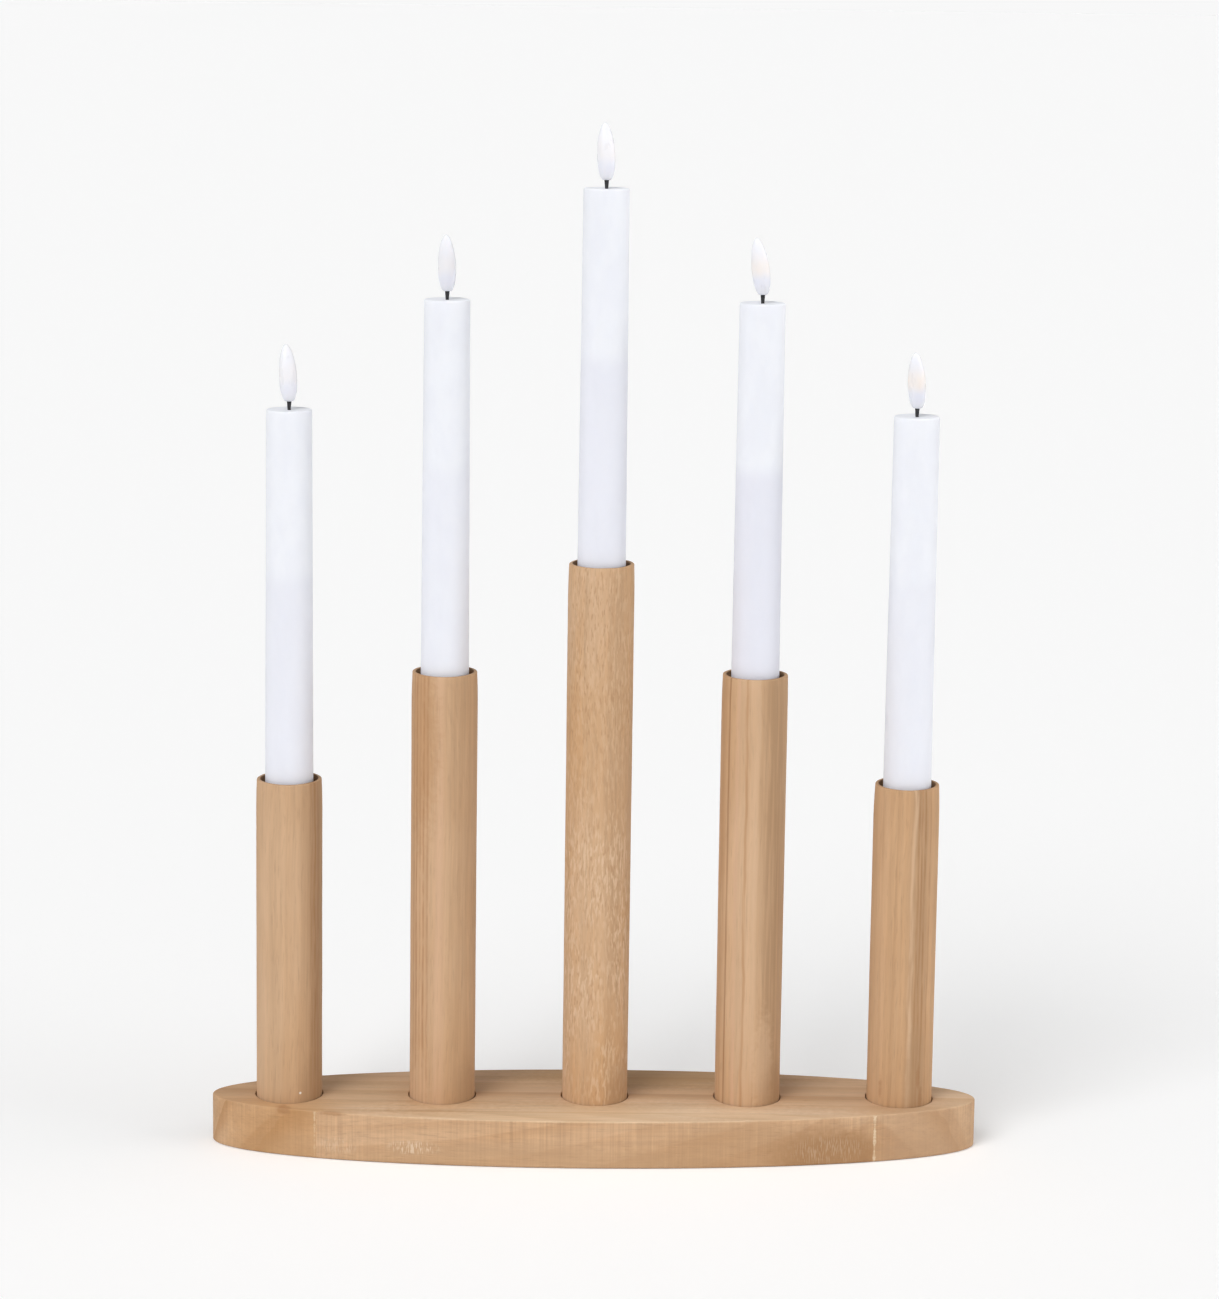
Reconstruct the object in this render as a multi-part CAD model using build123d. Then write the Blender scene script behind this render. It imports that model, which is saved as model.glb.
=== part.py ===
from build123d import *
from math import cos, pi
import os

# Advent candle holder in millimetres: +X along the base, -Y is the front, +Z is up.
# The origin is the middle of the base's underside.

# Battery candle, sizes across from the cell outwards
cell_diameter = 10.5
cell_clearance = 0.35
plug_wall = 1.0
plug_clearance = 0.2
core_wall = 2.2
core_clearance = 0.1
wax_wall = 1.9
wax_taper = 0.7
cap_step = 0.2

# Battery candle, sizes along its axis
candle_length = 200.0
wax_edge = 0.8
wax_dish_rim = 2.2
wax_dish_depth = 0.3
cell_length = 44.5
cell_count = 2
cell_nub_diameter = 3.8
cell_nub_height = 0.8
cell_shoulder = 0.5
cap_height = 5.0
cap_floor = 2.2
cap_edge = 0.6
cap_gap = 0.2
grip_count = 8
grip_radius = 1.6
grip_depth = 0.7
plug_height = 7.0
flange_height = 2.0
bay_height = 22.5
bay_ledge = 1.6
bay_roof = 3.0

# Twist lock of the battery cap
cap_twist = 40.0
lug_arc = 20.0
lug_reach = 1.0
lug_height = 1.6
lug_drop = 1.8
lug_clearance = 0.25
lug_slack = 2.0

# Guide ribs for the cells
rib_count = 3
rib_width = 1.0
rib_gap = 0.15
rib_lead = 3.0
rib_turn = 30.0

# Circuit board and contacts
board_thickness = 1.2
board_clearance = 0.2
chip_length = 4.0
chip_width = 3.0
chip_height = 1.2
contact_thickness = 0.4
contact_pad = 5.0
strip_width = 2.4
strip_thickness = 0.3
leaf_height = 5.8
leaf_width = 4.0
leaf_thickness = 0.3
leaf_inset = 1.5

# Slide switch under the cap
knob_length = 3.0
knob_width = 2.4
knob_recess = 0.5
switch_travel = 3.0
switch_plate_length = 5.0
switch_plate_width = 4.4
switch_plate_height = 0.8
slide_clearance = 0.2

# Wick, lamp and flame
wick_height = 3.6
wick_top_diameter = 2.1
wick_neck_diameter = 1.5
wick_root_diameter = 2.6
wick_root_length = 6.0
wick_plug_height = 1.2
wick_hole_clearance = 0.2
lead_hole_diameter = 1.05
conduit_wall = 1.6
conduit_cover = 3.0
led_diameter = 2.4
led_height = 4.5
led_clearance = 0.1
lead_size = 0.3
lead_spacing = 0.6
flame_height = 25.4
flame_diameter = 8.2
flame_foot_wall = 0.4
flame_tip_diameter = 0.3
flame_lean = 3.2
flame_bend = 1.2
flame_belly_height = 10.2
flame_foot_fullness = 0.55
flame_tip_fullness = 0.6
flame_ring_count = 10

# Wooden tubes
tube_pitch = 70.0
middle_tube_length = 260.0
tube_step = 50.0
tube_wall = 2.0
bore_clearance = 2.0
bore_depth = 32.0
rim_edge = 0.5
foot_edge = 1.0

# Wooden base
socket_depth = 12.0
socket_clearance = 0.5
socket_floor = 10.0
socket_side_wall = 10.0
outer_board_width = 11.5
end_margin = 35.0
base_edge = 0.8

# Each place along the base: its name, its step from the middle and how far its candle is turned
PLACES = (
    ("left_outer", -2, 121.0),
    ("left_inner", -1, 259.0),
    ("middle", 0, 108.0),
    ("right_inner", 1, 180.0),
    ("right_outer", 2, 240.0),
)

# Radii that follow from the cell and the walls around it
cell_radius = cell_diameter / 2
cup_radius = cell_radius + cell_clearance
plug_radius = cup_radius + plug_wall
core_bore_radius = plug_radius + plug_clearance
core_radius = core_bore_radius + core_wall
wax_bore_radius = core_radius + core_clearance
candle_radius = wax_bore_radius + wax_wall
candle_top_radius = candle_radius - wax_taper
cap_radius = candle_radius - cap_step
lug_radius = plug_radius + lug_reach
groove_radius = lug_radius + lug_clearance
board_radius = core_bore_radius - board_clearance
bay_radius = board_radius - bay_ledge
bore_radius = candle_radius + bore_clearance
tube_radius = bore_radius + tube_wall
socket_radius = tube_radius + socket_clearance

# Radii of the wick, the lamp and what they pass through
wick_root_radius = wick_root_diameter / 2
wick_neck_radius = wick_neck_diameter / 2
wick_top_radius = wick_top_diameter / 2
lead_hole_radius = lead_hole_diameter / 2
conduit_bore_radius = wick_root_radius + core_clearance
conduit_radius = conduit_bore_radius + conduit_wall
wick_hole_radius = wick_neck_radius + wick_hole_clearance
led_radius = led_diameter / 2
pocket_radius = max(led_radius, wick_top_radius) + led_clearance
flame_radius = flame_diameter / 2
flame_tip_radius = flame_tip_diameter / 2
flame_foot_radius = pocket_radius + flame_foot_wall

# Heights above the candle's foot
cup_floor_z = cap_floor + switch_plate_height + slide_clearance
plug_top_z = cap_height + plug_height
core_foot_z = cap_height + cap_gap
wax_foot_z = core_foot_z + flange_height
lug_top_z = plug_top_z - lug_drop
lug_foot_z = lug_top_z - lug_height
cell_foot_z = cup_floor_z + leaf_height
contact_z = cell_foot_z + cell_count * cell_length
board_z = contact_z + contact_thickness
bay_foot_z = board_z + board_thickness
bay_top_z = bay_foot_z + bay_height
core_top_z = bay_top_z + bay_roof
conduit_top_z = candle_length - conduit_cover
wick_root_z = conduit_top_z - wick_root_length
flame_foot_z = candle_length + wick_height
led_z = flame_foot_z + wick_plug_height
led_shoulder_z = led_z + led_height - led_radius
pocket_depth = wick_plug_height + led_height + led_clearance

# Sizes of the base
middle_board_width = 2 * (socket_radius + socket_side_wall)
base_depth = middle_board_width + 2 * outer_board_width
base_length = (len(PLACES) - 1) * tube_pitch + 2 * end_margin
base_thickness = socket_floor + socket_depth


def turned(*corners):
    """A solid of revolution about Z from (radius, height) corners."""
    return revolve(make_face(Plane.XZ * Polyline(*corners, close=True)), Axis.Z)


def ring_piece(inner, outer, low, high, start, arc):
    """A stretch of a square-sided ring about Z, from one angle on through an arc."""
    section = Pos((inner + outer) / 2, (low + high) / 2) * Rectangle(outer - inner, high - low)
    return revolve(Rot(0, 0, start) * (Plane.XZ * section), Axis.Z, arc)


def disc(radius, low, high):
    """A cylinder about Z between two heights."""
    return Pos(0, 0, (low + high) / 2) * Cylinder(radius, high - low)


def block(length, width, low, high):
    """A box centred on Z between two heights."""
    return Pos(0, 0, (low + high) / 2) * Box(length, width, high - low)


# Wooden base

def oval_base():
    """The whole oval with its eased edges and the blind sockets for the tubes."""
    oval = extrude(Ellipse(base_length / 2, base_depth / 2), base_thickness)
    rims = oval.edges().group_by(Axis.Z)
    oval = chamfer(rims[0] + rims[-1], base_edge)
    socket = disc(socket_radius, socket_floor, base_thickness)
    for _, step, _ in PLACES:
        oval -= Pos(step * tube_pitch, 0, 0) * socket
    return oval


def base_boards():
    """The three boards that are glued edge to edge and sawn to the oval."""
    oval = oval_base()
    width = base_depth
    middle = Box(base_length, middle_board_width, 2 * base_thickness)
    side = Box(base_length, width, 2 * base_thickness)
    offset = (middle_board_width + width) / 2
    return {
        "base_middle_board": oval & middle,
        "base_front_board": oval & Pos(0, -offset, 0) * side,
        "base_rear_board": oval & Pos(0, offset, 0) * side,
    }


# Wooden tubes

def tube_length(step):
    """Tubes grow shorter by an even step from the middle outwards."""
    return middle_tube_length - abs(step) * tube_step


def tube(length):
    """A round dowel with a flat-bottomed candle bore in its top."""
    bore_floor = length - bore_depth
    return turned(
        (0, 0),
        (tube_radius - foot_edge, 0),
        (tube_radius, foot_edge),
        (tube_radius, length - rim_edge),
        (tube_radius - rim_edge, length),
        (bore_radius + rim_edge, length),
        (bore_radius, length - rim_edge),
        (bore_radius, bore_floor),
        (0, bore_floor),
    )


# Battery candle, built with its foot at the origin

def wax_body():
    """The tapered wax sleeve, with a dished top and a stepped bore for the core."""
    return turned(
        (wax_bore_radius, wax_foot_z),
        (candle_radius, wax_foot_z),
        (candle_top_radius, candle_length - wax_edge),
        (candle_top_radius - wax_edge, candle_length),
        (candle_top_radius - wax_dish_rim, candle_length),
        (wick_hole_radius, candle_length - wax_dish_depth),
        (wick_hole_radius, conduit_top_z + core_clearance),
        (conduit_radius + core_clearance, conduit_top_z + core_clearance),
        (conduit_radius + core_clearance, core_top_z + core_clearance),
        (wax_bore_radius, core_top_z + core_clearance),
    )


def core():
    """The moulded battery tube, its board ledge and the conduit up to the wick."""
    body = turned(
        (core_bore_radius, core_foot_z),
        (cap_radius, core_foot_z),
        (cap_radius, wax_foot_z),
        (core_radius, wax_foot_z),
        (core_radius, core_top_z),
        (conduit_radius, core_top_z),
        (conduit_radius, conduit_top_z),
        (conduit_bore_radius, conduit_top_z),
        (conduit_bore_radius, bay_top_z),
        (bay_radius, bay_top_z),
        (bay_radius, bay_foot_z),
        (core_bore_radius, bay_foot_z),
    )
    rib_inner = cell_radius + rib_gap
    rib_outer = core_bore_radius + core_wall / 2
    rib_foot = plug_top_z + rib_lead
    rib = Pos((rib_inner + rib_outer) / 2, 0, 0) * block(
        rib_outer - rib_inner, rib_width, rib_foot, contact_z - rib_lead
    )
    for index in range(rib_count):
        body += Rot(0, 0, rib_turn + index * 360 / rib_count) * rib
    entry_arc = lug_arc + 2 * lug_slack
    lock_arc = entry_arc + cap_twist
    low = lug_foot_z - lug_clearance
    high = lug_top_z + lug_clearance
    for side in (0, 180):
        start = side - entry_arc / 2
        body -= ring_piece(cup_radius, groove_radius, low, high, start, lock_arc)
        body -= ring_piece(cup_radius, groove_radius, 0, high, start + cap_twist, entry_arc)
    return body


def cells():
    """The round cells, one on the other, each with its nub upwards."""
    can_top = cell_length - cell_nub_height
    nub_radius = cell_nub_diameter / 2
    cell = turned(
        (0, 0),
        (cell_radius, 0),
        (cell_radius, can_top - cell_shoulder),
        (cell_radius - cell_shoulder, can_top),
        (nub_radius, can_top),
        (nub_radius, cell_length),
        (0, cell_length),
    )
    return Compound([Pos(0, 0, cell_foot_z + index * cell_length) * cell for index in range(cell_count)])


def circuit_board():
    """The round board with its chip, the pad on the upper cell and the return strip along the cells."""
    chip = block(chip_length, chip_width, bay_foot_z, bay_foot_z + chip_height)
    board = disc(board_radius, board_z, bay_foot_z) + Pos(0, bay_radius / 2, 0) * chip
    pad = block(contact_pad, contact_pad, contact_z, board_z)
    strip_back = (core_bore_radius**2 - (strip_width / 2) ** 2) ** 0.5 - core_clearance
    strip = block(strip_width, strip_thickness, plug_top_z + plug_clearance, board_z)
    return Compound([board, pad, Pos(0, strip_back - strip_thickness / 2, 0) * strip])


def led():
    """The lamp with its domed lens and its two long leads down to the board."""
    dome = CenterArc((0, led_shoulder_z), led_radius, 0, 90)
    sides = Polyline(dome @ 1, (0, led_z), (led_radius, led_z), dome @ 0)
    lens = revolve(make_face(Plane.XZ * (sides + dome)), Axis.Z)
    lead = block(lead_size, lead_size, bay_foot_z, led_z + lead_size)
    for side in (-1, 1):
        lens += Pos(side * lead_spacing / 2, 0, 0) * lead
    return lens


def wick():
    """The black sleeve that carries the flame and hides the leads."""
    return turned(
        (lead_hole_radius, wick_root_z),
        (wick_root_radius, wick_root_z),
        (wick_root_radius, conduit_top_z),
        (wick_neck_radius, conduit_top_z),
        (wick_neck_radius, candle_length),
        (wick_top_radius, flame_foot_z),
        (wick_top_radius, led_z),
        (lead_hole_radius, led_z),
    )


def flame_ring_radius(height):
    """The flame's radius at a height, full at its belly and drawn in to its foot and its tip."""
    if height < flame_belly_height:
        end, away, fullness = flame_foot_radius, 1 - height / flame_belly_height, flame_foot_fullness
    else:
        away = (height - flame_belly_height) / (flame_height - flame_belly_height)
        end, fullness = flame_tip_radius, flame_tip_fullness
    return end + (flame_radius - end) * (1 - away**2) ** fullness


def flame():
    """The milky leaning flame, with the pocket that takes the lamp."""
    sections = []
    for index in range(flame_ring_count + 1):
        height = flame_height * (1 - cos(pi * index / flame_ring_count)) / 2
        lean = flame_lean * (height / flame_height) ** flame_bend
        ring = Circle(flame_ring_radius(height))
        sections.append(Pos(lean, 0, flame_foot_z + height) * ring)
    return loft(sections) - disc(pocket_radius, flame_foot_z, flame_foot_z + pocket_depth)


def battery_cap():
    """The twist-off foot with its finger grips, lock lugs, cell cup and switch slot."""
    cap = turned(
        (0, 0),
        (cap_radius - cap_edge, 0),
        (cap_radius, cap_edge),
        (cap_radius, cap_height),
        (plug_radius, cap_height),
        (plug_radius, plug_top_z),
        (cup_radius, plug_top_z),
        (cup_radius, cup_floor_z),
        (0, cup_floor_z),
    )
    grip = Pos(cap_radius + grip_radius - grip_depth, 0, 0) * Cylinder(grip_radius, 2 * cap_height)
    for index in range(grip_count):
        cap -= Rot(0, 0, (index + 0.5) * 360 / grip_count) * grip
    lug_root = cup_radius + plug_wall / 2
    for side in (0, 180):
        cap += ring_piece(lug_root, lug_radius, lug_foot_z, lug_top_z, side - lug_arc / 2, lug_arc)
    slot_length = knob_length + switch_travel + 2 * slide_clearance
    pocket_length = switch_plate_length + switch_travel + 2 * slide_clearance
    cap -= block(slot_length, knob_width + 2 * slide_clearance, 0, cap_floor)
    cap -= block(pocket_length, switch_plate_width + 2 * slide_clearance, cap_floor, cup_floor_z)
    return cap


def battery_contact():
    """The contact disc in the cap, with the sprung leaf that presses on the lower cell."""
    plate_top = cup_floor_z + contact_thickness
    plate_radius = cup_radius - core_clearance
    low = plate_top - leaf_thickness / 2
    high = cell_foot_z - leaf_thickness / 2
    reach = plate_radius - leaf_inset
    spine = Polyline(
        (-reach, low),
        (-reach / 2, low),
        (-reach / 4, high),
        (reach / 2, high),
        (reach, (low + high) / 2),
    )
    leaf = extrude(Plane.XZ * trace(spine, leaf_thickness), leaf_width / 2, both=True)
    return disc(plate_radius, cup_floor_z, plate_top) + leaf


def switch():
    """The switch slider, with its knob in the cap's slot, at the end where the lamp is on."""
    plate = block(switch_plate_length, switch_plate_width, cap_floor, cap_floor + switch_plate_height)
    plate += block(knob_length, knob_width, knob_recess, cap_floor)
    return Pos(-switch_travel / 2, 0, 0) * plate


CANDLE_PIECES = {
    "wax_body": wax_body,
    "core": core,
    "cells": cells,
    "circuit_board": circuit_board,
    "led": led,
    "wick": wick,
    "flame": flame,
    "battery_cap": battery_cap,
    "battery_contact": battery_contact,
    "switch": switch,
}


def holder():
    """Every piece of the holder at its place, by name."""
    pieces = base_boards()
    candle = {name: make() for name, make in CANDLE_PIECES.items()}
    for place, step, turn in PLACES:
        length = tube_length(step)
        stand = Pos(step * tube_pitch, 0, socket_floor)
        pieces[f"{place}_tube"] = stand * tube(length)
        seat = stand * Pos(0, 0, length - bore_depth) * Rot(0, 0, turn)
        for name, piece in candle.items():
            pieces[f"{place}_{name}"] = seat * piece
    return pieces


os.makedirs("parts", exist_ok=True)
for node, solid in holder().items():
    export_step(solid, f"parts/{node}.step")
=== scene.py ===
"""Looks of an advent candle holder: an oval wooden base, plug-in wooden tubes and their battery candles."""

import logging
import math
from collections.abc import Callable, Iterable, Sequence
from dataclasses import dataclass, field
from enum import Enum

import bmesh
import bpy
from mathutils import Matrix, Vector, noise


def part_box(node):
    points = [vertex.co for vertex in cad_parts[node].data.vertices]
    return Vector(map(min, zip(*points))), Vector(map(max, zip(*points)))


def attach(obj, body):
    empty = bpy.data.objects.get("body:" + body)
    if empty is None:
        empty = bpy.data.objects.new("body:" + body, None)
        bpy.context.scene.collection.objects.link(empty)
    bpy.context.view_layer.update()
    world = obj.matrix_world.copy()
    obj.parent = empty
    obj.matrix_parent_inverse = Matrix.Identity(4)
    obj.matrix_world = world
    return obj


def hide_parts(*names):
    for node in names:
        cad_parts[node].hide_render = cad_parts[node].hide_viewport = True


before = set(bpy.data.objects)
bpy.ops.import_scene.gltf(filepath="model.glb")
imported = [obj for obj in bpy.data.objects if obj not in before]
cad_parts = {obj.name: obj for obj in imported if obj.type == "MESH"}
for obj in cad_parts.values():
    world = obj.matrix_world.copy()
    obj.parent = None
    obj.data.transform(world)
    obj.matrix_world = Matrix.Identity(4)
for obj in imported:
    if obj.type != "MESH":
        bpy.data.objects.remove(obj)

LOG = logging.getLogger("candle_holder")
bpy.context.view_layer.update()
MILLIMETRE = 0.001

# Soft noise lies mostly between these two numbers
LOW_NOISE = 0.3
HIGH_NOISE = 0.7

Colour = tuple[float, float, float]
Point = tuple[float, float, float]
Span = tuple[float, float]
PlanPoint = Span
Outline = list[Span]
Socket = bpy.types.NodeSocket
Value = Socket | float
Paint = Socket | Colour
Row = list[bmesh.types.BMVert]


class Place(Enum):
    """The places along the base, from left to right seen from the front."""

    LEFT_OUTER = "left_outer"
    LEFT_INNER = "left_inner"
    MIDDLE = "middle"
    RIGHT_INNER = "right_inner"
    RIGHT_OUTER = "right_outer"

    def node(self, piece: str) -> str:
        """The name of this place's piece."""
        return f"{self.value}_{piece}"


class GrainAxis(Enum):
    """The direction that the wood's fibres run in, as the order of the axes: across, across, along."""

    ALONG_X = (1, 2, 0)
    ALONG_Z = (0, 1, 2)


class Graph:
    """The node tree of a material or a world, with short calls for the nodes that the finishes share."""

    def __init__(self, owner: bpy.types.Material | bpy.types.World) -> None:
        """Start with an empty tree.

        Args:
            owner: the material or world whose tree it is.
        """
        owner.use_nodes = True
        self.owner = owner
        self.tree = owner.node_tree
        self.tree.nodes.clear()

    @classmethod
    def material(cls, name: str) -> "Graph":
        """The empty tree of a new material."""
        return cls(bpy.data.materials.new(name))

    def node(self, kind: str, sockets: dict[str | int, object], **settings: object) -> bpy.types.Node:
        """Add a node.

        Args:
            kind: the node's type name.
            sockets: what each input gets, a socket to link or a plain value.
            settings: the node's own options.

        Returns:
            The new node.
        """
        made = self.tree.nodes.new(kind)
        for name, value in settings.items():
            setattr(made, name, value)
        for key, value in sockets.items():
            socket = made.inputs[key]
            if isinstance(value, bpy.types.NodeSocket):
                self.tree.links.new(value, socket)
            elif socket.type == "RGBA":
                socket.default_value = (*value, 1.0)
            else:
                socket.default_value = value
        return made

    def place(self) -> Socket:
        """The point on the piece, in metres in the holder's own frame."""
        return self.node("ShaderNodeTexCoord", {}).outputs["Object"]

    def facing(self) -> Socket:
        """The direction that the surface faces, in the holder's own frame."""
        return self.node("ShaderNodeTexCoord", {}).outputs["Normal"]

    def split(self, vector: Socket) -> tuple[Socket, Socket, Socket]:
        """The three parts of a vector."""
        return tuple(self.node("ShaderNodeSeparateXYZ", {0: vector}).outputs)

    def join(self, x: Value, y: Value, z: Value) -> Socket:
        """A vector from its three parts."""
        return self.node("ShaderNodeCombineXYZ", {0: x, 1: y, 2: z}).outputs[0]

    def vector(self, operation: str, first: Socket, second: Point) -> Socket:
        """A vector sum or product with a fixed vector."""
        return self.node("ShaderNodeVectorMath", {0: first, 1: second}, operation=operation).outputs["Vector"]

    def length(self, vector: Socket) -> Socket:
        """The length of a vector."""
        return self.node("ShaderNodeVectorMath", {0: vector}, operation="LENGTH").outputs["Value"]

    def math(self, operation: str, first: Value, second: Value = 0.0, third: Value = 0.0) -> Socket:
        """The result of a sum on numbers."""
        return self.node("ShaderNodeMath", {0: first, 1: second, 2: third}, operation=operation).outputs[0]

    def product(self, first: Value, *others: Value) -> Value:
        """The product of two or more numbers.

        Args:
            first: the first number.
            others: the numbers that it is multiplied by.

        Returns:
            The socket with the product.
        """
        for other in others:
            first = self.math("MULTIPLY", first, other)
        return first

    def centred(self, value: Socket) -> Socket:
        """Noise around 0.5, moved to lie around 0."""
        return self.math("SUBTRACT", value, 0.5)

    def step(self, value: Value, low: float, high: float, start: float = 0.0, end: float = 1.0) -> Socket:
        """A smooth step.

        Args:
            value: the number that is followed.
            low: where the step begins.
            high: where the step ends, which may lie below its beginning.
            start: the result before the step.
            end: the result after it.

        Returns:
            The socket with the stepped number.
        """
        sockets = {"Value": value, "From Min": low, "From Max": high, "To Min": start, "To Max": end}
        return self.node("ShaderNodeMapRange", sockets, interpolation_type="SMOOTHSTEP").outputs["Result"]

    def noise(self, place: Socket, scale: Point, detail: float = 2.0, colour: bool = False) -> Socket:
        """Soft noise.

        Args:
            place: the point that the noise is read at.
            scale: how many times a metre the noise changes along each axis.
            detail: how many finer layers it has.
            colour: whether three numbers are wanted instead of one.

        Returns:
            The socket with the noise, around 0.5.
        """
        stretched = self.vector("MULTIPLY", place, scale)
        made = self.node("ShaderNodeTexNoise", {"Vector": stretched, "Scale": 1.0, "Detail": detail})
        return made.outputs["Color" if colour else 0]

    def between(self, value: Socket, start: float, end: float) -> Socket:
        """Noise, spread between two numbers."""
        return self.step(value, LOW_NOISE, HIGH_NOISE, start, end)

    def bent(self, place: Socket, swirl: Socket, reach: Point) -> Socket:
        """A point moved aside by a swirl.

        Args:
            place: the point.
            swirl: three numbers up to 1 that say how far it moves.
            reach: how far it moves at most along each axis.

        Returns:
            The socket with the moved point.
        """
        moved = self.node("ShaderNodeVectorMath", {0: swirl, 1: reach, 2: place}, operation="MULTIPLY_ADD")
        return moved.outputs["Vector"]

    def mix(self, share: Value, first: Paint, second: Paint, blend: str = "MIX") -> Socket:
        """A mix of two colours.

        Args:
            share: how much of the second colour there is, up to 1.
            first: the colour that lies below.
            second: the colour that lies above.
            blend: the way in which the second colour covers the first.

        Returns:
            The socket with the mixed colour.
        """
        made = self.node("ShaderNodeMix", {}, data_type="RGBA", blend_type=blend)
        for index, value in ((0, share), (6, first), (7, second)):
            if isinstance(value, bpy.types.NodeSocket):
                self.tree.links.new(value, made.inputs[index])
            else:
                made.inputs[index].default_value = value if index == 0 else (*value, 1.0)
        return made.outputs[2]

    def tone(self, colour: Socket, level: Socket) -> Socket:
        """A colour made lighter or darker by a level around 1."""
        return self.mix(1.0, colour, level, "MULTIPLY")

    def bump(self, height: Socket, distance: float) -> Socket:
        """A normal that follows a height between 0 and 1."""
        return self.node("ShaderNodeBump", {"Height": height, "Distance": distance}).outputs[0]

    def finish(self, **sockets: object) -> bpy.types.Material:
        """Close the tree with a surface shader.

        Args:
            sockets: the shader's inputs, with a low line for each space in their names.

        Returns:
            The material.
        """
        named = {name.replace("_", " "): value for name, value in sockets.items()}
        shader = self.node("ShaderNodeBsdfPrincipled", named)
        self.node("ShaderNodeOutputMaterial", {"Surface": shader.outputs[0]})
        return self.owner


@dataclass
class Ground:
    """What a mark on wood works on: the point, its facing, and the colour and height so far.

    Attributes:
        graph: the tree that is built.
        place: the point on the piece.
        facing: the direction that the surface faces.
        colour: the colour so far.
        height: the height so far.
        level_span: how much a face looks up where it stops being level and starts to be upright.
    """

    graph: Graph
    place: Socket
    facing: Socket
    colour: Socket
    height: Socket
    level_span: Span = (0.75, 0.45)

    def upright(self) -> Socket:
        """A share of 1 on faces that stand upright and 0 on level ones."""
        level = self.graph.math("ABSOLUTE", self.graph.split(self.facing)[2])
        return self.graph.step(level, *self.level_span)

    def paint(self, share: Socket, colour: Colour) -> None:
        """Cover the colour so far by a share of another."""
        self.colour = self.graph.mix(share, self.colour, colour)

    def tint(self, share: Socket, colour: Colour) -> None:
        """Multiply the colour so far by a share of another, so that the grain still shows."""
        self.colour = self.graph.mix(share, self.colour, colour, "MULTIPLY")


class Mark:
    """Something on a wooden surface beside its grain."""

    def apply(self, ground: Ground) -> None:
        """Change the ground's colour or height."""
        raise NotImplementedError


@dataclass(frozen=True)
class Stripe(Mark):
    """A stripe of other wood along a tube, or of painted shade down its shaded right side.

    Attributes:
        axis: where the tube stands.
        angle: where the stripe lies, in degrees to the right of the side that faces front, seen from above.
        width: how far it reaches to either side, in degrees.
        colour: its colour.
        share: how much of the wood it covers.
        wander: how far it strays to either side, in degrees.
        changes: how many times a metre its strength changes.
        least: the part of its strength that always stays.
        full: the part of its width that has all its strength.
        grain: how many times a metre its strength changes across the tube.
        drift_scale: how many times a metre it strays.
        ragged_span: the noise at which its strength starts and stops rising.
    """

    axis: PlanPoint
    angle: float
    width: float
    colour: Colour
    share: float
    wander: float = 4.0
    changes: float = 24.0
    least: float = 0.35
    full: float = 0.2
    grain: float = 900.0
    drift_scale: Point = (1.0, 1.0, 22.0)
    ragged_span: Span = (0.2, 0.65)

    def apply(self, ground: Ground) -> None:
        """Paint the stripe, wandering a little and changing its strength along its length.

        Args:
            ground: the wood that is painted.
        """
        graph = ground.graph
        wander = math.radians(self.wander)
        width = math.radians(self.width)
        x, y, z = graph.split(ground.place)
        right = graph.math("SUBTRACT", x, self.axis[0])
        front = graph.math("SUBTRACT", self.axis[1], y)
        turn = graph.math("ARCTAN2", right, front)
        drift = graph.noise(graph.join(self.angle, 0.0, z), self.drift_scale, 3.0)
        drift = graph.math("MULTIPLY_ADD", drift, 2 * wander, -wander)
        away = graph.math("SUBTRACT", graph.math("ADD", turn, drift), math.radians(self.angle))
        away = graph.math("ABSOLUTE", graph.math("WRAP", away, math.pi, -math.pi))
        near = graph.step(away, width, self.full * width)
        ragged = graph.noise(ground.place, (self.grain, self.grain, self.changes))
        strength = graph.step(ragged, *self.ragged_span, self.least * self.share, self.share)
        ground.paint(graph.product(near, strength), self.colour)


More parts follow.
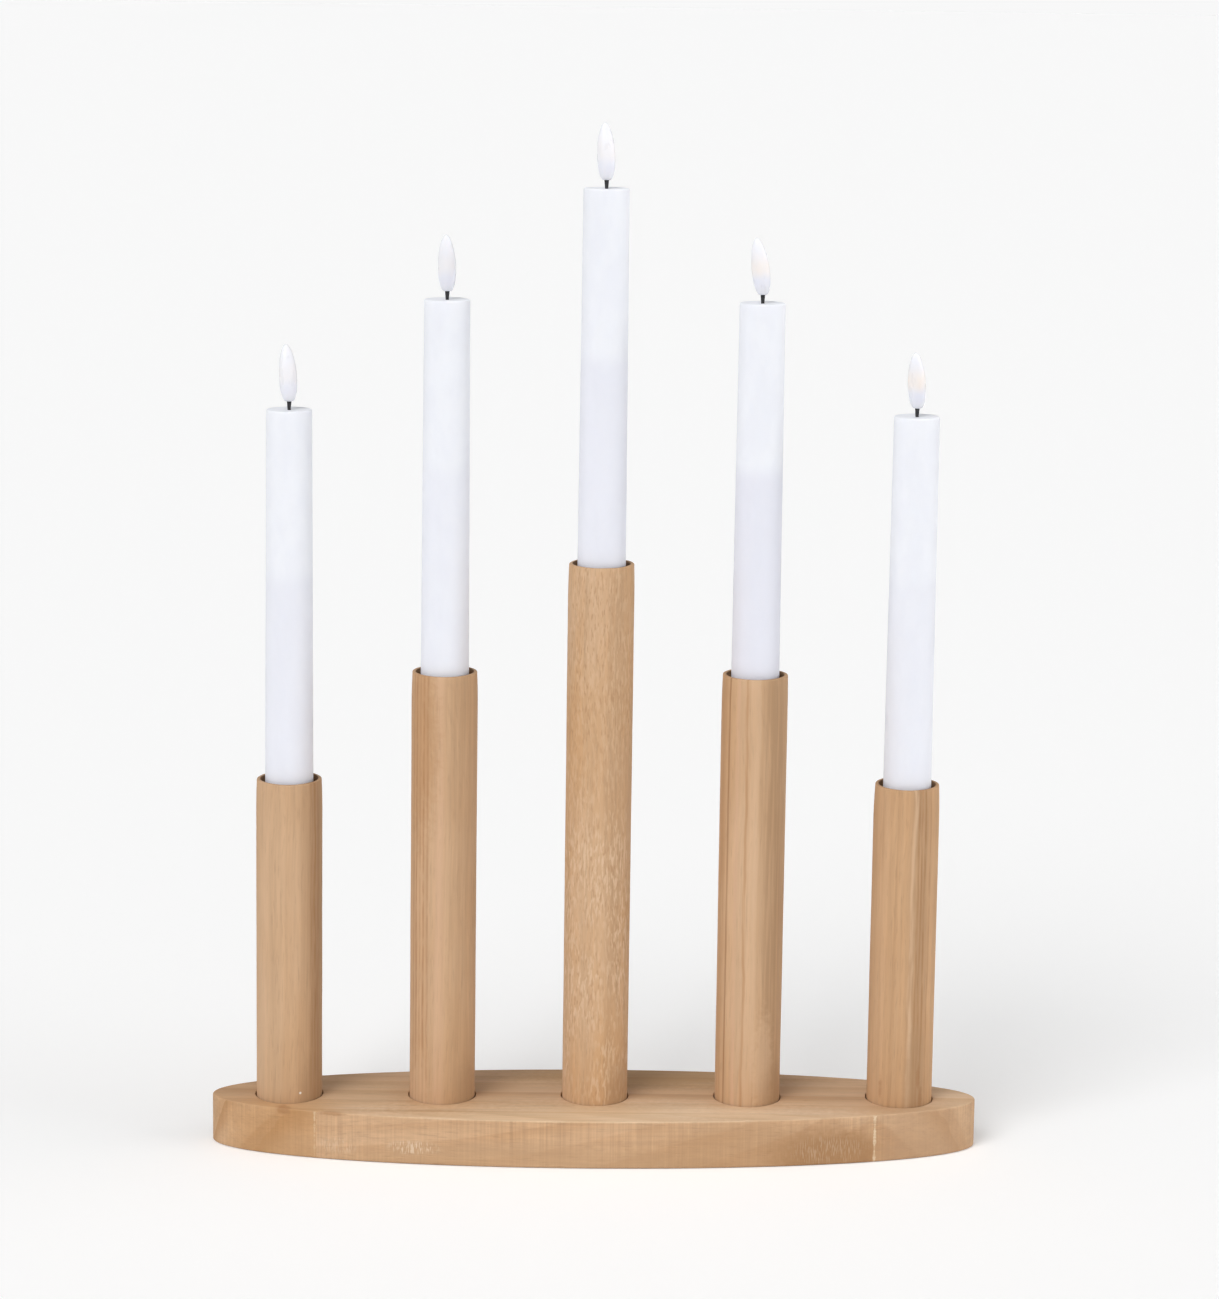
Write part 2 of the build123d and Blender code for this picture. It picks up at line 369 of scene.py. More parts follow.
@dataclass(frozen=True)
class Flecks(Mark):
    """Short pale rays that catch the light along part of a tube, with short dark pores between them.

    Attributes:
        low: the height at which they begin.
        high: the height at which they end.
        colour: the rays' colour.
        share: how much of the wood the rays cover.
        pore: the pores' colour.
        pore_share: how much of the wood the pores cover.
        fade_in: the part of the reach over which they begin.
        fade_out: the part of the reach over which they end.
        swirl: how far they stray along each axis.
        swirl_scale: how many times a metre they stray.
        ray_scale: how many times a metre the rays come.
        ray_span: the noise at which a ray starts and is full.
        pore_scale: how many times a metre the pores come.
        pore_span: the noise at which a pore starts and is full.
        patch_scale: how many times a metre they grow dense.
        patch_span: the noise at which they start and stop growing dense.
        sparse: the part of them that is left between dense patches.
        relief: how far the rays stand out.
    """

    low: float
    high: float
    colour: Colour
    share: float
    pore: Colour = (0.400, 0.212, 0.098)
    pore_share: float = 0.45
    fade_in: float = 0.25
    fade_out: float = 0.35
    swirl: Point = (0.0014, 0.0014, 0.0)
    swirl_scale: Point = (70.0, 70.0, 30.0)
    ray_scale: Point = (1050.0, 1050.0, 200.0)
    ray_span: Span = (0.48, 0.64)
    pore_scale: Point = (1250.0, 1250.0, 260.0)
    pore_span: Span = (0.46, 0.32)
    patch_scale: Point = (60.0, 60.0, 26.0)
    patch_span: Span = (0.32, 0.56)
    sparse: float = 0.12
    relief: float = 0.3

    def apply(self, ground: Ground) -> None:
        """Paint the pores and then the rays where they are thickest.

        Args:
            ground: the wood that is painted.
        """
        graph = ground.graph
        height = graph.split(ground.place)[2]
        reach = self.high - self.low
        inside = graph.step(height, self.low, self.low + self.fade_in * reach)
        below = graph.step(height, self.high, self.high - self.fade_out * reach)
        swirl = graph.noise(ground.place, self.swirl_scale, 1.0, colour=True)
        bent = graph.bent(ground.place, swirl, self.swirl)
        rays = graph.step(graph.noise(bent, self.ray_scale), *self.ray_span)
        pores = graph.step(graph.noise(bent, self.pore_scale, 1.0), *self.pore_span)
        patches = graph.step(graph.noise(ground.place, self.patch_scale), *self.patch_span, self.sparse, 1.0)
        within = graph.product(inside, below, patches)
        ground.paint(graph.product(within, pores, self.pore_share), self.pore)
        share = graph.product(within, rays)
        ground.paint(graph.product(share, self.share), self.colour)
        ground.height = graph.math("MULTIPLY_ADD", share, self.relief, ground.height)


@dataclass(frozen=True)
class PaintedBoreShade(Mark):
    """Painted shade in a tube's bore: the rough wall and floor that the drill left are painted darker than the
    sanded outside.

    Attributes:
        axis: where the tube stands.
        radius: the bore's radius.
        colour: the colour of the painted shade on its wall.
        share: how much of the wood it covers.
        least: the part of its strength that always stays.
        ring_scale: how many times a metre the drill's turns show.
        edge: how far outside the bore the colour begins.
        skin: how far outside the bore it is full.
    """

    axis: PlanPoint
    radius: float = 13.0 * MILLIMETRE
    colour: Colour = (0.215, 0.120, 0.060)
    share: float = 0.80
    least: float = 0.75
    ring_scale: Point = (60.0, 60.0, 1500.0)
    edge: float = 0.3 * MILLIMETRE
    skin: float = 0.1 * MILLIMETRE

    def apply(self, ground: Ground) -> None:
        """Paint shade into the bore, with the drill's turns as fine rings on its wall.

        Args:
            ground: the wood that is painted.
        """
        graph = ground.graph
        x, y, _ = graph.split(graph.vector("SUBTRACT", ground.place, (*self.axis, 0.0)))
        away = graph.length(graph.join(x, y, 0.0))
        inside = graph.step(away, self.radius + self.edge, self.radius + self.skin)
        rings = graph.noise(ground.place, self.ring_scale)
        # The bore's painted shade, broken up by the drill's turns.
        torn = graph.between(rings, self.least * self.share, self.share)
        ground.paint(graph.product(inside, torn), self.colour)


@dataclass(frozen=True)
class Stain(Mark):
    """A soft patch of another colour, such as a knot, a worn spot or a stain.

    Attributes:
        centre: the patch's middle.
        size: how far it reaches along each axis.
        colour: its colour.
        share: how much of the wood it covers.
        ragged: how far its edge strays, as a part of its size.
        grain: how many times a metre its edge strays.
        full: the part of its size that has all its strength.
    """

    centre: Point
    size: Point
    colour: Colour
    share: float
    ragged: float = 0.5
    grain: Point = (400.0, 400.0, 400.0)
    full: float = 0.35

    def cover(self, ground: Ground) -> Socket:
        """How much of the ground the patch covers, with a ragged edge.

        Args:
            ground: the wood that is painted.

        Returns:
            The socket with the share.
        """
        graph = ground.graph
        apart = graph.vector("SUBTRACT", ground.place, self.centre)
        away = graph.length(graph.vector("DIVIDE", apart, self.size))
        torn = graph.math("MULTIPLY_ADD", graph.noise(ground.place, self.grain, 3.0), 2 * self.ragged, away)
        near = graph.step(torn, 1.0 + self.ragged, self.full + self.ragged)
        return graph.product(near, self.share)

    def apply(self, ground: Ground) -> None:
        """Paint the patch."""
        ground.paint(self.cover(ground), self.colour)


@dataclass(frozen=True)
class PaintedLight(Stain):
    """A patch of painted light, whose colour says how many times lighter each part of the wood under it is."""

    def apply(self, ground: Ground) -> None:
        """Lighten the patch and keep its grain."""
        ground.tint(self.cover(ground), self.colour)


@dataclass(frozen=True)
class SawLines(Mark):
    """Fine upright lines that the saw left on the sawn edge of the base.

    Attributes:
        pitch: the distance between lines.
        share: how much they darken the wood.
        relief: how deep they are.
        stretch: how often they end, as a part of how often they come.
        patch_scale: how many times a metre they grow dense.
        sparse: the part of them that is left between dense patches.
    """

    pitch: float = 0.9 * MILLIMETRE
    share: float = 0.24
    relief: float = 0.9
    stretch: float = 0.02
    patch_scale: Point = (38.0, 38.0, 55.0)
    sparse: float = 0.35

    def apply(self, ground: Ground) -> None:
        """Darken and sink the lines on upright faces.

        Args:
            ground: the wood that is painted.
        """
        graph = ground.graph
        rate = 1 / self.pitch
        lines = graph.noise(ground.place, (rate, rate, self.stretch * rate), 1.0)
        patches = graph.between(graph.noise(ground.place, self.patch_scale), self.sparse, 1.0)
        depth = graph.product(graph.centred(lines), graph.product(patches, ground.upright()))
        ground.colour = graph.tone(ground.colour, graph.math("MULTIPLY_ADD", depth, 2 * self.share, 1.0))
        ground.height = graph.math("MULTIPLY_ADD", depth, self.relief, ground.height)


@dataclass(frozen=True)
class GlueLine(Mark):
    """The pale, slightly chipped line where two boards of the base meet on its sawn edge.

    Attributes:
        reach: how far from the middle the line lies, at both ends.
        left_width: its width at the left end.
        right_width: its width at the right end.
        colour: its colour.
        left_share: how much of the wood it covers at the left end.
        right_share: how much of the wood it covers at the right end.
        chip_scale: how many times a metre its edges are chipped.
        chipping: how far the chips reach, in widths.
        lump_scale: how many times a metre it grows thick.
        lump_span: the noise at which it starts and stops growing thick.
        thin: the part of it that always stays.
        crossing: how far from the middle the left end's values pass to the right end's.
        edge_span: the distances, in widths, at which it starts and is full.
    """

    reach: float
    left_width: float
    right_width: float
    colour: Colour
    left_share: float
    right_share: float
    chip_scale: Point = (90.0, 90.0, 520.0)
    chipping: float = 3.2
    lump_scale: Point = (200.0, 200.0, 760.0)
    lump_span: Span = (0.36, 0.60)
    thin: float = 0.30
    crossing: float = 10.0 * MILLIMETRE
    edge_span: Span = (1.0, 0.35)

    def apply(self, ground: Ground) -> None:
        """Paint the line at both ends of the seams, on upright faces.

        Args:
            ground: the wood that is painted.
        """
        graph = ground.graph
        x = graph.split(ground.place)[0]
        chips = graph.centred(graph.noise(ground.place, self.chip_scale, 3.0))
        lumps = graph.step(graph.noise(ground.place, self.lump_scale), *self.lump_span, self.thin, 1.0)
        apart = graph.math("ABSOLUTE", graph.math("SUBTRACT", graph.math("ABSOLUTE", x), self.reach))
        width = graph.step(x, -self.crossing, self.crossing, self.left_width, self.right_width)
        torn = graph.math("MULTIPLY_ADD", chips, self.chipping, graph.math("DIVIDE", apart, width))
        near = graph.product(graph.step(torn, *self.edge_span), lumps)
        share = graph.step(x, -self.crossing, self.crossing, self.left_share, self.right_share)
        ground.paint(graph.product(near, share, ground.upright()), self.colour)


@dataclass(frozen=True)
class GrowthLine(Mark):
    """The dark end of one growth ring, a slanting line on the sawn edge at one end of the base.

    Attributes:
        end: -1 for the left end of the base, 1 for the right one.
        offset: where the ring crosses the base's underside, from front to back.
        colour: its colour.
        share: how much of the wood it covers.
        lean: how far the ring leans towards the front for each metre of height.
        fade: the stretch over which it fades in.
        sharp: the stretch over which it ends.
        wander: how far it strays.
        wander_scale: how many times a metre it strays.
        end_span: how far from the middle the line starts and is full.
    """

    end: int
    offset: float
    colour: Colour
    share: float
    lean: float = 0.294
    fade: float = 4.5 * MILLIMETRE
    sharp: float = 0.4 * MILLIMETRE
    wander: float = 1.4 * MILLIMETRE
    wander_scale: Point = (90.0, 90.0, 90.0)
    end_span: Span = (0.105, 0.115)

    def apply(self, ground: Ground) -> None:
        """Paint the line on upright faces of its end.

        Args:
            ground: the wood that is painted.
        """
        graph = ground.graph
        x, y, z = graph.split(ground.place)
        stray = graph.centred(graph.noise(ground.place, self.wander_scale))
        level = graph.math("MULTIPLY_ADD", z, self.lean, graph.math("SUBTRACT", y, self.offset))
        level = graph.math("MULTIPLY_ADD", stray, 2 * self.wander, level)
        line = graph.product(graph.step(level, -self.fade, 0.0), graph.step(level, self.sharp, 0.0))
        here = graph.step(graph.product(x, self.end), *self.end_span)
        within = graph.product(here, ground.upright())
        ground.paint(graph.product(line, within, self.share), self.colour)


@dataclass(frozen=True)
class Scuff(Mark):
    """A patch of pale upright scratches on the sawn edge of the base.

    Attributes:
        centre: the patch's middle.
        size: how far it reaches along each axis.
        colour: the scratches' colour.
        share: how much of the wood they cover.
        grain: how many times a metre the scratches come.
        edge_span: the distances, in sizes, at which the patch starts and is full.
        dash_span: the noise at which a scratch starts and is full.
    """

    centre: Point
    size: Point
    colour: Colour
    share: float
    grain: Point = (1700.0, 1700.0, 320.0)
    edge_span: Span = (1.0, 0.4)
    dash_span: Span = (0.46, 0.66)

    def apply(self, ground: Ground) -> None:
        """Paint the scratches inside the patch.

        Args:
            ground: the wood that is painted.
        """
        graph = ground.graph
        apart = graph.vector("SUBTRACT", ground.place, self.centre)
        away = graph.length(graph.vector("DIVIDE", apart, self.size))
        inside = graph.step(away, *self.edge_span)
        dashes = graph.step(graph.noise(ground.place, self.grain, 1.0), *self.dash_span)
        ground.paint(graph.product(inside, dashes, self.share), self.colour)


@dataclass(frozen=True)
class Wood:
    """Light unvarnished wood, cut from a log whose pith runs beside the piece.

    Attributes:
        axis: the direction of the fibres.
        origin: a point on the piece's middle line.
        pith: where the log's middle lies, in metres across the fibres.
        lean: how far the pith drifts for each metre along the fibres.
        pale: the lightest wood.
        tan: the ordinary wood.
        late: the darker wood at the end of each growth ring.
        ring: the width of a growth ring.
        ring_share: how strongly the rings show.
        wander: how far the rings stray from true circles.
        fibre_share: how strongly the fine fibres show.
        streak_share: how strongly the broader streaks show.
        pore_share: how much darker the short pores are.
        bend: how far the fibres swell aside along the piece.
        end_level: how much darker the end grain is.
        marks: what else lies on the surface.
        cloud_scale: how many times a metre pale wood passes to ordinary wood, across, across and along.
        cloud_span: the noise at which it starts and stops passing.
        wander_scale: how many times a metre the rings stray.
        ring_rise: the parts of a ring at which its late wood starts and is full.
        ring_fall: the parts of a ring at which its late wood ends, from none to full.
        swell_scale: how many times a metre the fibres swell aside.
        fibre_scale: how many times a metre the fibres come.
        streak_scale: how many times a metre the streaks come.
        pore_scale: how many times a metre the pores come.
        pore_span: the noise at which a pore starts and is full.
        end_span: how far a face turns to the fibres where the end grain starts and is full.
        pore_depth: how deep the pores are beside the fibres.
        relief: the height of the fibres.
        rough: the least and the greatest roughness.
        gloss: how much the surface mirrors.
    """

    axis: GrainAxis
    origin: Point
    pith: PlanPoint
    lean: PlanPoint = (0.0, 0.0)
    pale: Colour = (0.610, 0.400, 0.243)
    tan: Colour = (0.548, 0.340, 0.190)
    late: Colour = (0.405, 0.215, 0.096)
    ring: float = 0.0045
    ring_share: float = 0.34
    wander: float = 0.004
    fibre_share: float = 0.15
    streak_share: float = 0.12
    pore_share: float = 0.085
    bend: Point = (0.006, 0.006, 0.0)
    end_level: float = 0.86
    marks: Sequence[Mark] = ()
    cloud_scale: Point = (40.0, 40.0, 11.0)
    cloud_span: Span = (0.32, 0.68)
    wander_scale: Point = (24.0, 24.0, 5.0)
    ring_rise: Span = (0.25, 0.9)
    ring_fall: Span = (1.0, 0.92)
    swell_scale: Point = (16.0, 16.0, 9.0)
    fibre_scale: Point = (800.0, 800.0, 24.0)
    streak_scale: Point = (210.0, 210.0, 8.0)
    pore_scale: Point = (1500.0, 1500.0, 120.0)
    pore_span: Span = (0.56, 0.72)
    end_span: Span = (0.55, 0.95)
    pore_depth: float = 0.6
    relief: float = 0.09 * MILLIMETRE
    rough: Span = (0.58, 0.72)
    gloss: float = 0.20

    def rings(self, graph: Graph, across: Socket, beside: Socket, along: Socket, grain: Socket) -> Socket:
        """How strongly the late wood of a growth ring shows.

        Args:
            graph: the tree that is built.
            across: the first direction across the fibres.
            beside: the second direction across the fibres.
            along: the direction along the fibres.
            grain: the three of them as a vector.

        Returns:
            The socket with the share of late wood.
        """
        stray = graph.split(graph.noise(grain, self.wander_scale, colour=True))
        parts = []
        for part, drift, pith, lean in zip((across, beside), stray, self.pith, self.lean):
            moved = graph.math("MULTIPLY_ADD", drift, 2 * self.wander, part)
            leaned = graph.math("MULTIPLY_ADD", along, -lean, moved)
            parts.append(graph.math("SUBTRACT", leaned, pith + self.wander))
        reach = graph.length(graph.join(parts[0], parts[1], 0.0))
        count = graph.math("DIVIDE", reach, self.ring)
        turn = graph.math("FRACT", count)
        late = graph.product(graph.step(turn, *self.ring_rise), graph.step(turn, *self.ring_fall))
        whole = graph.math("FLOOR", count)
        each = graph.node("ShaderNodeTexWhiteNoise", {"W": whole}, noise_dimensions="1D").outputs["Value"]
        share = graph.math("MULTIPLY_ADD", each, 0.5 * self.ring_share, 0.5 * self.ring_share)
        return graph.product(late, share)

    def material(self, name: str) -> bpy.types.Material:
        """The wood's material, with its rings, fibres, pores and marks.

        Args:
            name: the material's name.

        Returns:
            The material.
        """
        graph = Graph.material(name)
        place = graph.place()
        facing = graph.facing()
        parts = graph.split(graph.vector("SUBTRACT", place, self.origin))
        across, beside, along = (parts[index] for index in self.axis.value)
        grain = graph.join(across, beside, along)
        clouds = graph.step(graph.noise(grain, self.cloud_scale), *self.cloud_span)
        colour = graph.mix(clouds, self.pale, self.tan)
        colour = graph.mix(self.rings(graph, across, beside, along, grain), colour, self.late)
        swell = graph.noise(grain, self.swell_scale, 1.0, colour=True)
        bent = graph.bent(grain, swell, self.bend)
        fibres = graph.noise(bent, self.fibre_scale, 3.0)
        streaks = graph.noise(bent, self.streak_scale)
        pores = graph.step(graph.noise(bent, self.pore_scale, 1.0), *self.pore_span)
        level = graph.math("MULTIPLY_ADD", fibres, 2 * self.fibre_share, 1 - self.fibre_share)
        level = graph.math("MULTIPLY_ADD", graph.centred(streaks), 2 * self.streak_share, level)
        level = graph.math("MULTIPLY_ADD", pores, -self.pore_share, level)
        turned = graph.math("ABSOLUTE", graph.split(facing)[self.axis.value[2]])
        end = graph.step(turned, *self.end_span, 1.0, self.end_level)
        colour = graph.tone(graph.tone(colour, level), end)
        height = graph.math("MULTIPLY_ADD", pores, -self.pore_depth, fibres)
        ground = Ground(graph, place, facing, colour, height)
        for mark in self.marks:
            mark.apply(ground)
        return graph.finish(
            Base_Color=ground.colour,
            Roughness=graph.between(fibres, *self.rough),
            Specular_IOR_Level=self.gloss,
            Normal=graph.bump(ground.height, self.relief),
        )


@dataclass(frozen=True)
class Wax:
    """Cool white paraffin wax over a plastic core."""

    body: Colour = (0.840, 0.855, 0.912)
    bloom: Colour = (0.862, 0.877, 0.928)
    core_shade: Colour = (0.775, 0.780, 0.862)
    core_top: float = 125.0 * MILLIMETRE
    fade: float = 5.0 * MILLIMETRE
    mottle_scale: Point = (130.0, 130.0, 60.0)
    mottle_span: Span = (0.35, 0.65)
    skin_scale: Point = (420.0, 420.0, 260.0)
    relief: float = 0.06 * MILLIMETRE
    rough: Span = (0.42, 0.56)
    gloss: float = 0.4
    scatter: float = 0.3
    scatter_colour: Colour = (1.0, 0.95, 0.92)
    scatter_depth: float = 1.5 * MILLIMETRE

    def material(self, name: str, foot: float, core_shade_share: float) -> bpy.types.Material:
        """The wax's material.

        Args:
            name: the material's name.
            foot: the height of the candle's foot.
            core_shade_share: how much painted shade of the core darkens the wax in front of it.

        Returns:
            The material.
        """
        graph = Graph.material(name)
        place = graph.place()
        height = graph.split(place)[2]
        mottle = graph.step(graph.noise(place, self.mottle_scale, 3.0), *self.mottle_span)
        colour = graph.mix(mottle, self.body, self.bloom)
        edge = foot + self.core_top
        # Painted shade: below the core's top the wax is darkened as if by the core behind it.
        inside = graph.step(height, edge + self.fade, edge - self.fade, 0.0, core_shade_share)
        colour = graph.mix(inside, colour, self.core_shade)
        skin = graph.noise(place, self.skin_scale, 3.0)
        return graph.finish(
            Base_Color=colour,
            Roughness=graph.step(mottle, 0.0, 1.0, *self.rough),
            Specular_IOR_Level=self.gloss,
            Subsurface_Weight=self.scatter,
            Subsurface_Radius=self.scatter_colour,
            Subsurface_Scale=self.scatter_depth,
            Normal=graph.bump(skin, self.relief),
        )


@dataclass(frozen=True)
class FlameGlow:
    """Milky translucent plastic with a small warm lamp inside it."""

    milk: Colour = (0.822, 0.827, 0.868)
    shade: Colour = (0.790, 0.802, 0.888)
    # Painted light: the warm tint of the lamp's light in the flame's colour.
    lamp_light_tint: Colour = (0.840, 0.792, 0.758)
    glow: Colour = (1.0, 0.70, 0.44)
    glow_level: float = 0.05
    swirl_scale: Point = (260.0, 260.0, 90.0)
    shade_span: Span = (0.42, 0.05)
    glow_rise: Span = (0.12, 0.42)
    glow_fall: Span = (0.95, 0.5)
    shade_swirl: Span = (0.25, 0.7)
    least_shade: float = 0.7
    glow_swirl: Span = (0.2, 0.8)
    least_glow: float = 0.6
    relief: float = 0.05 * MILLIMETRE
    rough: Span = (0.26, 0.38)
    scatter: float = 1.0
    scatter_colour: Colour = (1.0, 0.95, 0.92)
    scatter_depth: float = 3.0 * MILLIMETRE

    def material(self, name: str, foot: float, tip: float, strength: float) -> bpy.types.Material:
        """The flame's material.

        Args:
            name: the material's name.
            foot: the height of the flame's foot.
            tip: the height of its tip.
            strength: how strongly its lamp glows, up to 1.

        Returns:
            The material.
        """
        graph = Graph.material(name)
        place = graph.place()
        share = graph.step(graph.split(place)[2], foot, tip)
        swirl = graph.noise(place, self.swirl_scale)
        milky = graph.step(swirl, *self.shade_swirl, self.least_shade, 1.0)
        low = graph.product(graph.step(share, *self.shade_span), milky)
        # Painted light: where the lamp shines, the flame's colour is tinted warm as well as made to glow.
        lit = graph.product(graph.step(share, *self.glow_rise), graph.step(share, *self.glow_fall))
        lit = graph.product(lit, graph.step(swirl, *self.glow_swirl, self.least_glow * strength, strength))
        return graph.finish(
            Base_Color=graph.mix(lit, graph.mix(low, self.milk, self.shade), self.lamp_light_tint),
            Roughness=graph.between(swirl, *self.rough),
            Subsurface_Weight=self.scatter,
            Subsurface_Radius=self.scatter_colour,
            Subsurface_Scale=self.scatter_depth,
            Emission_Color=self.glow,
            Emission_Strength=graph.product(lit, self.glow_level),
            Normal=graph.bump(swirl, self.relief),
        )


@dataclass(frozen=True)
class Wick:
    """Black moulded sleeve, grained like a twisted cord."""

    black: Colour = (0.010, 0.010, 0.012)
    worn: Colour = (0.045, 0.043, 0.045)
    strand_scale: Point = (1500.0, 1500.0, 700.0)
    worn_span: Span = (0.45, 0.75)
    relief: float = 0.2 * MILLIMETRE
    rough: Span = (0.55, 0.8)

    def material(self, name: str) -> bpy.types.Material:
        """The wick's material.

        Args:
            name: the material's name.

        Returns:
            The material.
        """
        graph = Graph.material(name)
        strands = graph.noise(graph.place(), self.strand_scale, 3.0)
        return graph.finish(
            Base_Color=graph.mix(graph.step(strands, *self.worn_span), self.black, self.worn),
            Roughness=graph.between(strands, *self.rough),
            Normal=graph.bump(strands, self.relief),
        )


@dataclass(frozen=True)
class Moulding:
    """Moulded plastic with a fine eroded grain."""

    body: Colour
    worn: Colour
    rough: Span = (0.39, 0.53)
    grain_scale: Point = (1800.0, 1800.0, 1800.0)
    flow_scale: Point = (90.0, 90.0, 30.0)
    flow_span: Span = (0.3, 0.75)
    relief: float = 0.03 * MILLIMETRE

    def material(self, name: str) -> bpy.types.Material:
        """The plastic's material.

        Args:
            name: the material's name.

        Returns:
            The material.
        """
        graph = Graph.material(name)
        place = graph.place()
        cells = graph.noise(place, self.grain_scale)
        flow = graph.noise(place, self.flow_scale)
        return graph.finish(
            Base_Color=graph.mix(graph.step(flow, *self.flow_span), self.body, self.worn),
            Roughness=graph.between(cells, *self.rough),
            Normal=graph.bump(cells, self.relief),
        )


@dataclass(frozen=True)
class PlatedSteel:
    """Thin plated sheet, brushed along its length."""

    bright: Colour = (0.66, 0.64, 0.60)
    dull: Colour = (0.48, 0.46, 0.43)
    brush_scale: Point = (300.0, 4200.0, 4200.0)
    relief: float = 0.02 * MILLIMETRE
    rough: Span = (0.24, 0.42)

    def material(self, name: str) -> bpy.types.Material:
        """The sheet's material.

        Args:
            name: the material's name.

        Returns:
            The material.
        """
        graph = Graph.material(name)
        brushed = graph.noise(graph.place(), self.brush_scale, 3.0)
        return graph.finish(
            Base_Color=graph.mix(graph.between(brushed, 0.0, 1.0), self.bright, self.dull),
            Metallic=1.0,
            Roughness=graph.between(brushed, *self.rough),
            Normal=graph.bump(brushed, self.relief),
        )


@dataclass(frozen=True)
class CellSleeve:
    """A round cell: a steel can in a plain printed sleeve with a band near its nub."""

    steel: Colour = (0.62, 0.62, 0.63)
    sleeve: Colour = (0.050, 0.056, 0.062)
    band: Colour = (0.62, 0.36, 0.15)
    length: float = 44.5 * MILLIMETRE
    bare: float = 1.2 * MILLIMETRE
    band_height: float = 34.0 * MILLIMETRE
    band_edge: float = 0.2 * MILLIMETRE
    bare_edge: float = 0.1 * MILLIMETRE
    bare_fade: float = 0.9
    least_metal: float = 0.35
    scratch_scale: Point = (900.0, 900.0, 3000.0)
    scratch_tone: Span = (0.92, 1.06)
    relief: float = 0.02 * MILLIMETRE
    rough: Span = (0.28, 0.42)

    def material(self, name: str, foot: float) -> bpy.types.Material:
        """The cell's material, repeated for each cell of a stack.

        Args:
            name: the material's name.
            foot: the height of the stack's foot.

        Returns:
            The material.
        """
        graph = Graph.material(name)
        place = graph.place()
        raised = graph.math("SUBTRACT", graph.split(place)[2], foot)
        height = graph.math("WRAP", raised, self.length, 0.0)
        scratches = graph.noise(place, self.scratch_scale, 3.0)
        banded = graph.step(height, self.band_height, self.band_height + self.band_edge)
        colour = graph.mix(banded, self.sleeve, self.band)
        top = self.length - self.bare
        low_end = graph.step(height, self.bare, self.bare_fade * self.bare)
        ends = graph.math("MAXIMUM", low_end, graph.step(height, top, top + self.bare_edge))
        colour = graph.mix(ends, colour, self.steel)
        return graph.finish(
            Base_Color=graph.tone(colour, graph.between(scratches, *self.scratch_tone)),
            Metallic=graph.math("MAXIMUM", ends, self.least_metal),
            Roughness=graph.between(scratches, *self.rough),
            Normal=graph.bump(scratches, self.relief),
        )


@dataclass(frozen=True)
class CircuitBoard:
    """A green board with tinned tracks, its black chip above it and bare metal contacts below it."""

    mask: Colour = (0.020, 0.120, 0.045)
    track: Colour = (0.060, 0.250, 0.090)
    chip: Colour = (0.015, 0.015, 0.017)
    metal: Colour = (0.66, 0.63, 0.56)
    track_pitch: float = 1.6 * MILLIMETRE
    track_span: Span = (0.16, 0.10)
    chip_height: float = 1.2 * MILLIMETRE
    thickness: float = 1.2 * MILLIMETRE
    edge: float = 0.1 * MILLIMETRE
    dust_scale: Point = (700.0, 700.0, 700.0)
    dust_tone: Span = (0.9, 1.05)
    relief: float = 0.04 * MILLIMETRE
    rough: Span = (0.3, 0.5)

    def material(self, name: str, top: float) -> bpy.types.Material:
        """The board's material.

        Args:
            name: the material's name.
            top: the height of its chip's top.

        Returns:
            The material.
        """
        graph = Graph.material(name)
        place = graph.place()
        height = graph.split(place)[2]
        rate = 1 / self.track_pitch
        plan = graph.vector("MULTIPLY", place, (rate, rate, 0.0))
        cells = graph.node("ShaderNodeTexVoronoi", {"Vector": plan, "Scale": 1.0},
                           feature="DISTANCE_TO_EDGE", distance="CHEBYCHEV").outputs["Distance"]
        tracks = graph.step(cells, *self.track_span)
        board_top = top - self.chip_height
        underside = board_top - self.thickness
        colour = graph.mix(tracks, self.mask, self.track)
        raised = graph.step(height, board_top + self.edge, board_top + 3 * self.edge)
        colour = graph.mix(raised, colour, self.chip)
        below = graph.step(height, underside, underside - self.edge)
        dust = graph.noise(place, self.dust_scale, 3.0)
        colour = graph.mix(below, colour, self.metal)
        return graph.finish(
            Base_Color=graph.tone(colour, graph.between(dust, *self.dust_tone)),
            Metallic=below,
            Roughness=graph.between(dust, *self.rough),
            Normal=graph.bump(tracks, self.relief),
        )


@dataclass(frozen=True)
class LampLens:
    """The small warm lamp: a pale lens on two tinned leads."""

    lens: Colour = (0.93, 0.80, 0.52)
    metal: Colour = (0.64, 0.62, 0.58)
    glow: Colour = (1.0, 0.72, 0.42)
    glow_level: float = 0.25
    height: float = 4.5 * MILLIMETRE
    edge: float = 0.1 * MILLIMETRE
    drawn_scale: Point = (2500.0, 2500.0, 160.0)
    drawn_tone: Span = (0.94, 1.04)
    rough: Span = (0.16, 0.3)

    def material(self, name: str, top: float) -> bpy.types.Material:
        """The lamp's material.

        Args:
            name: the material's name.
            top: the height of its top.

        Returns:
            The material.
        """
        graph = Graph.material(name)
        place = graph.place()
        foot = top - self.height
        leads = graph.step(graph.split(place)[2], foot + self.edge, foot)
        drawn = graph.noise(place, self.drawn_scale)
        colour = graph.mix(leads, self.lens, self.metal)
        return graph.finish(
            Base_Color=graph.tone(colour, graph.between(drawn, *self.drawn_tone)),
            Metallic=leads,
            Roughness=graph.between(drawn, *self.rough),
            Emission_Color=self.glow,
            Emission_Strength=graph.step(leads, 0.0, 1.0, self.glow_level, 0.0),
        )


@dataclass(frozen=True)
class Corner:
    """A corner of a turned profile: its radius and height, and how far it is rounded."""

    radius: float
    height: float
    rounding: float = 0.0


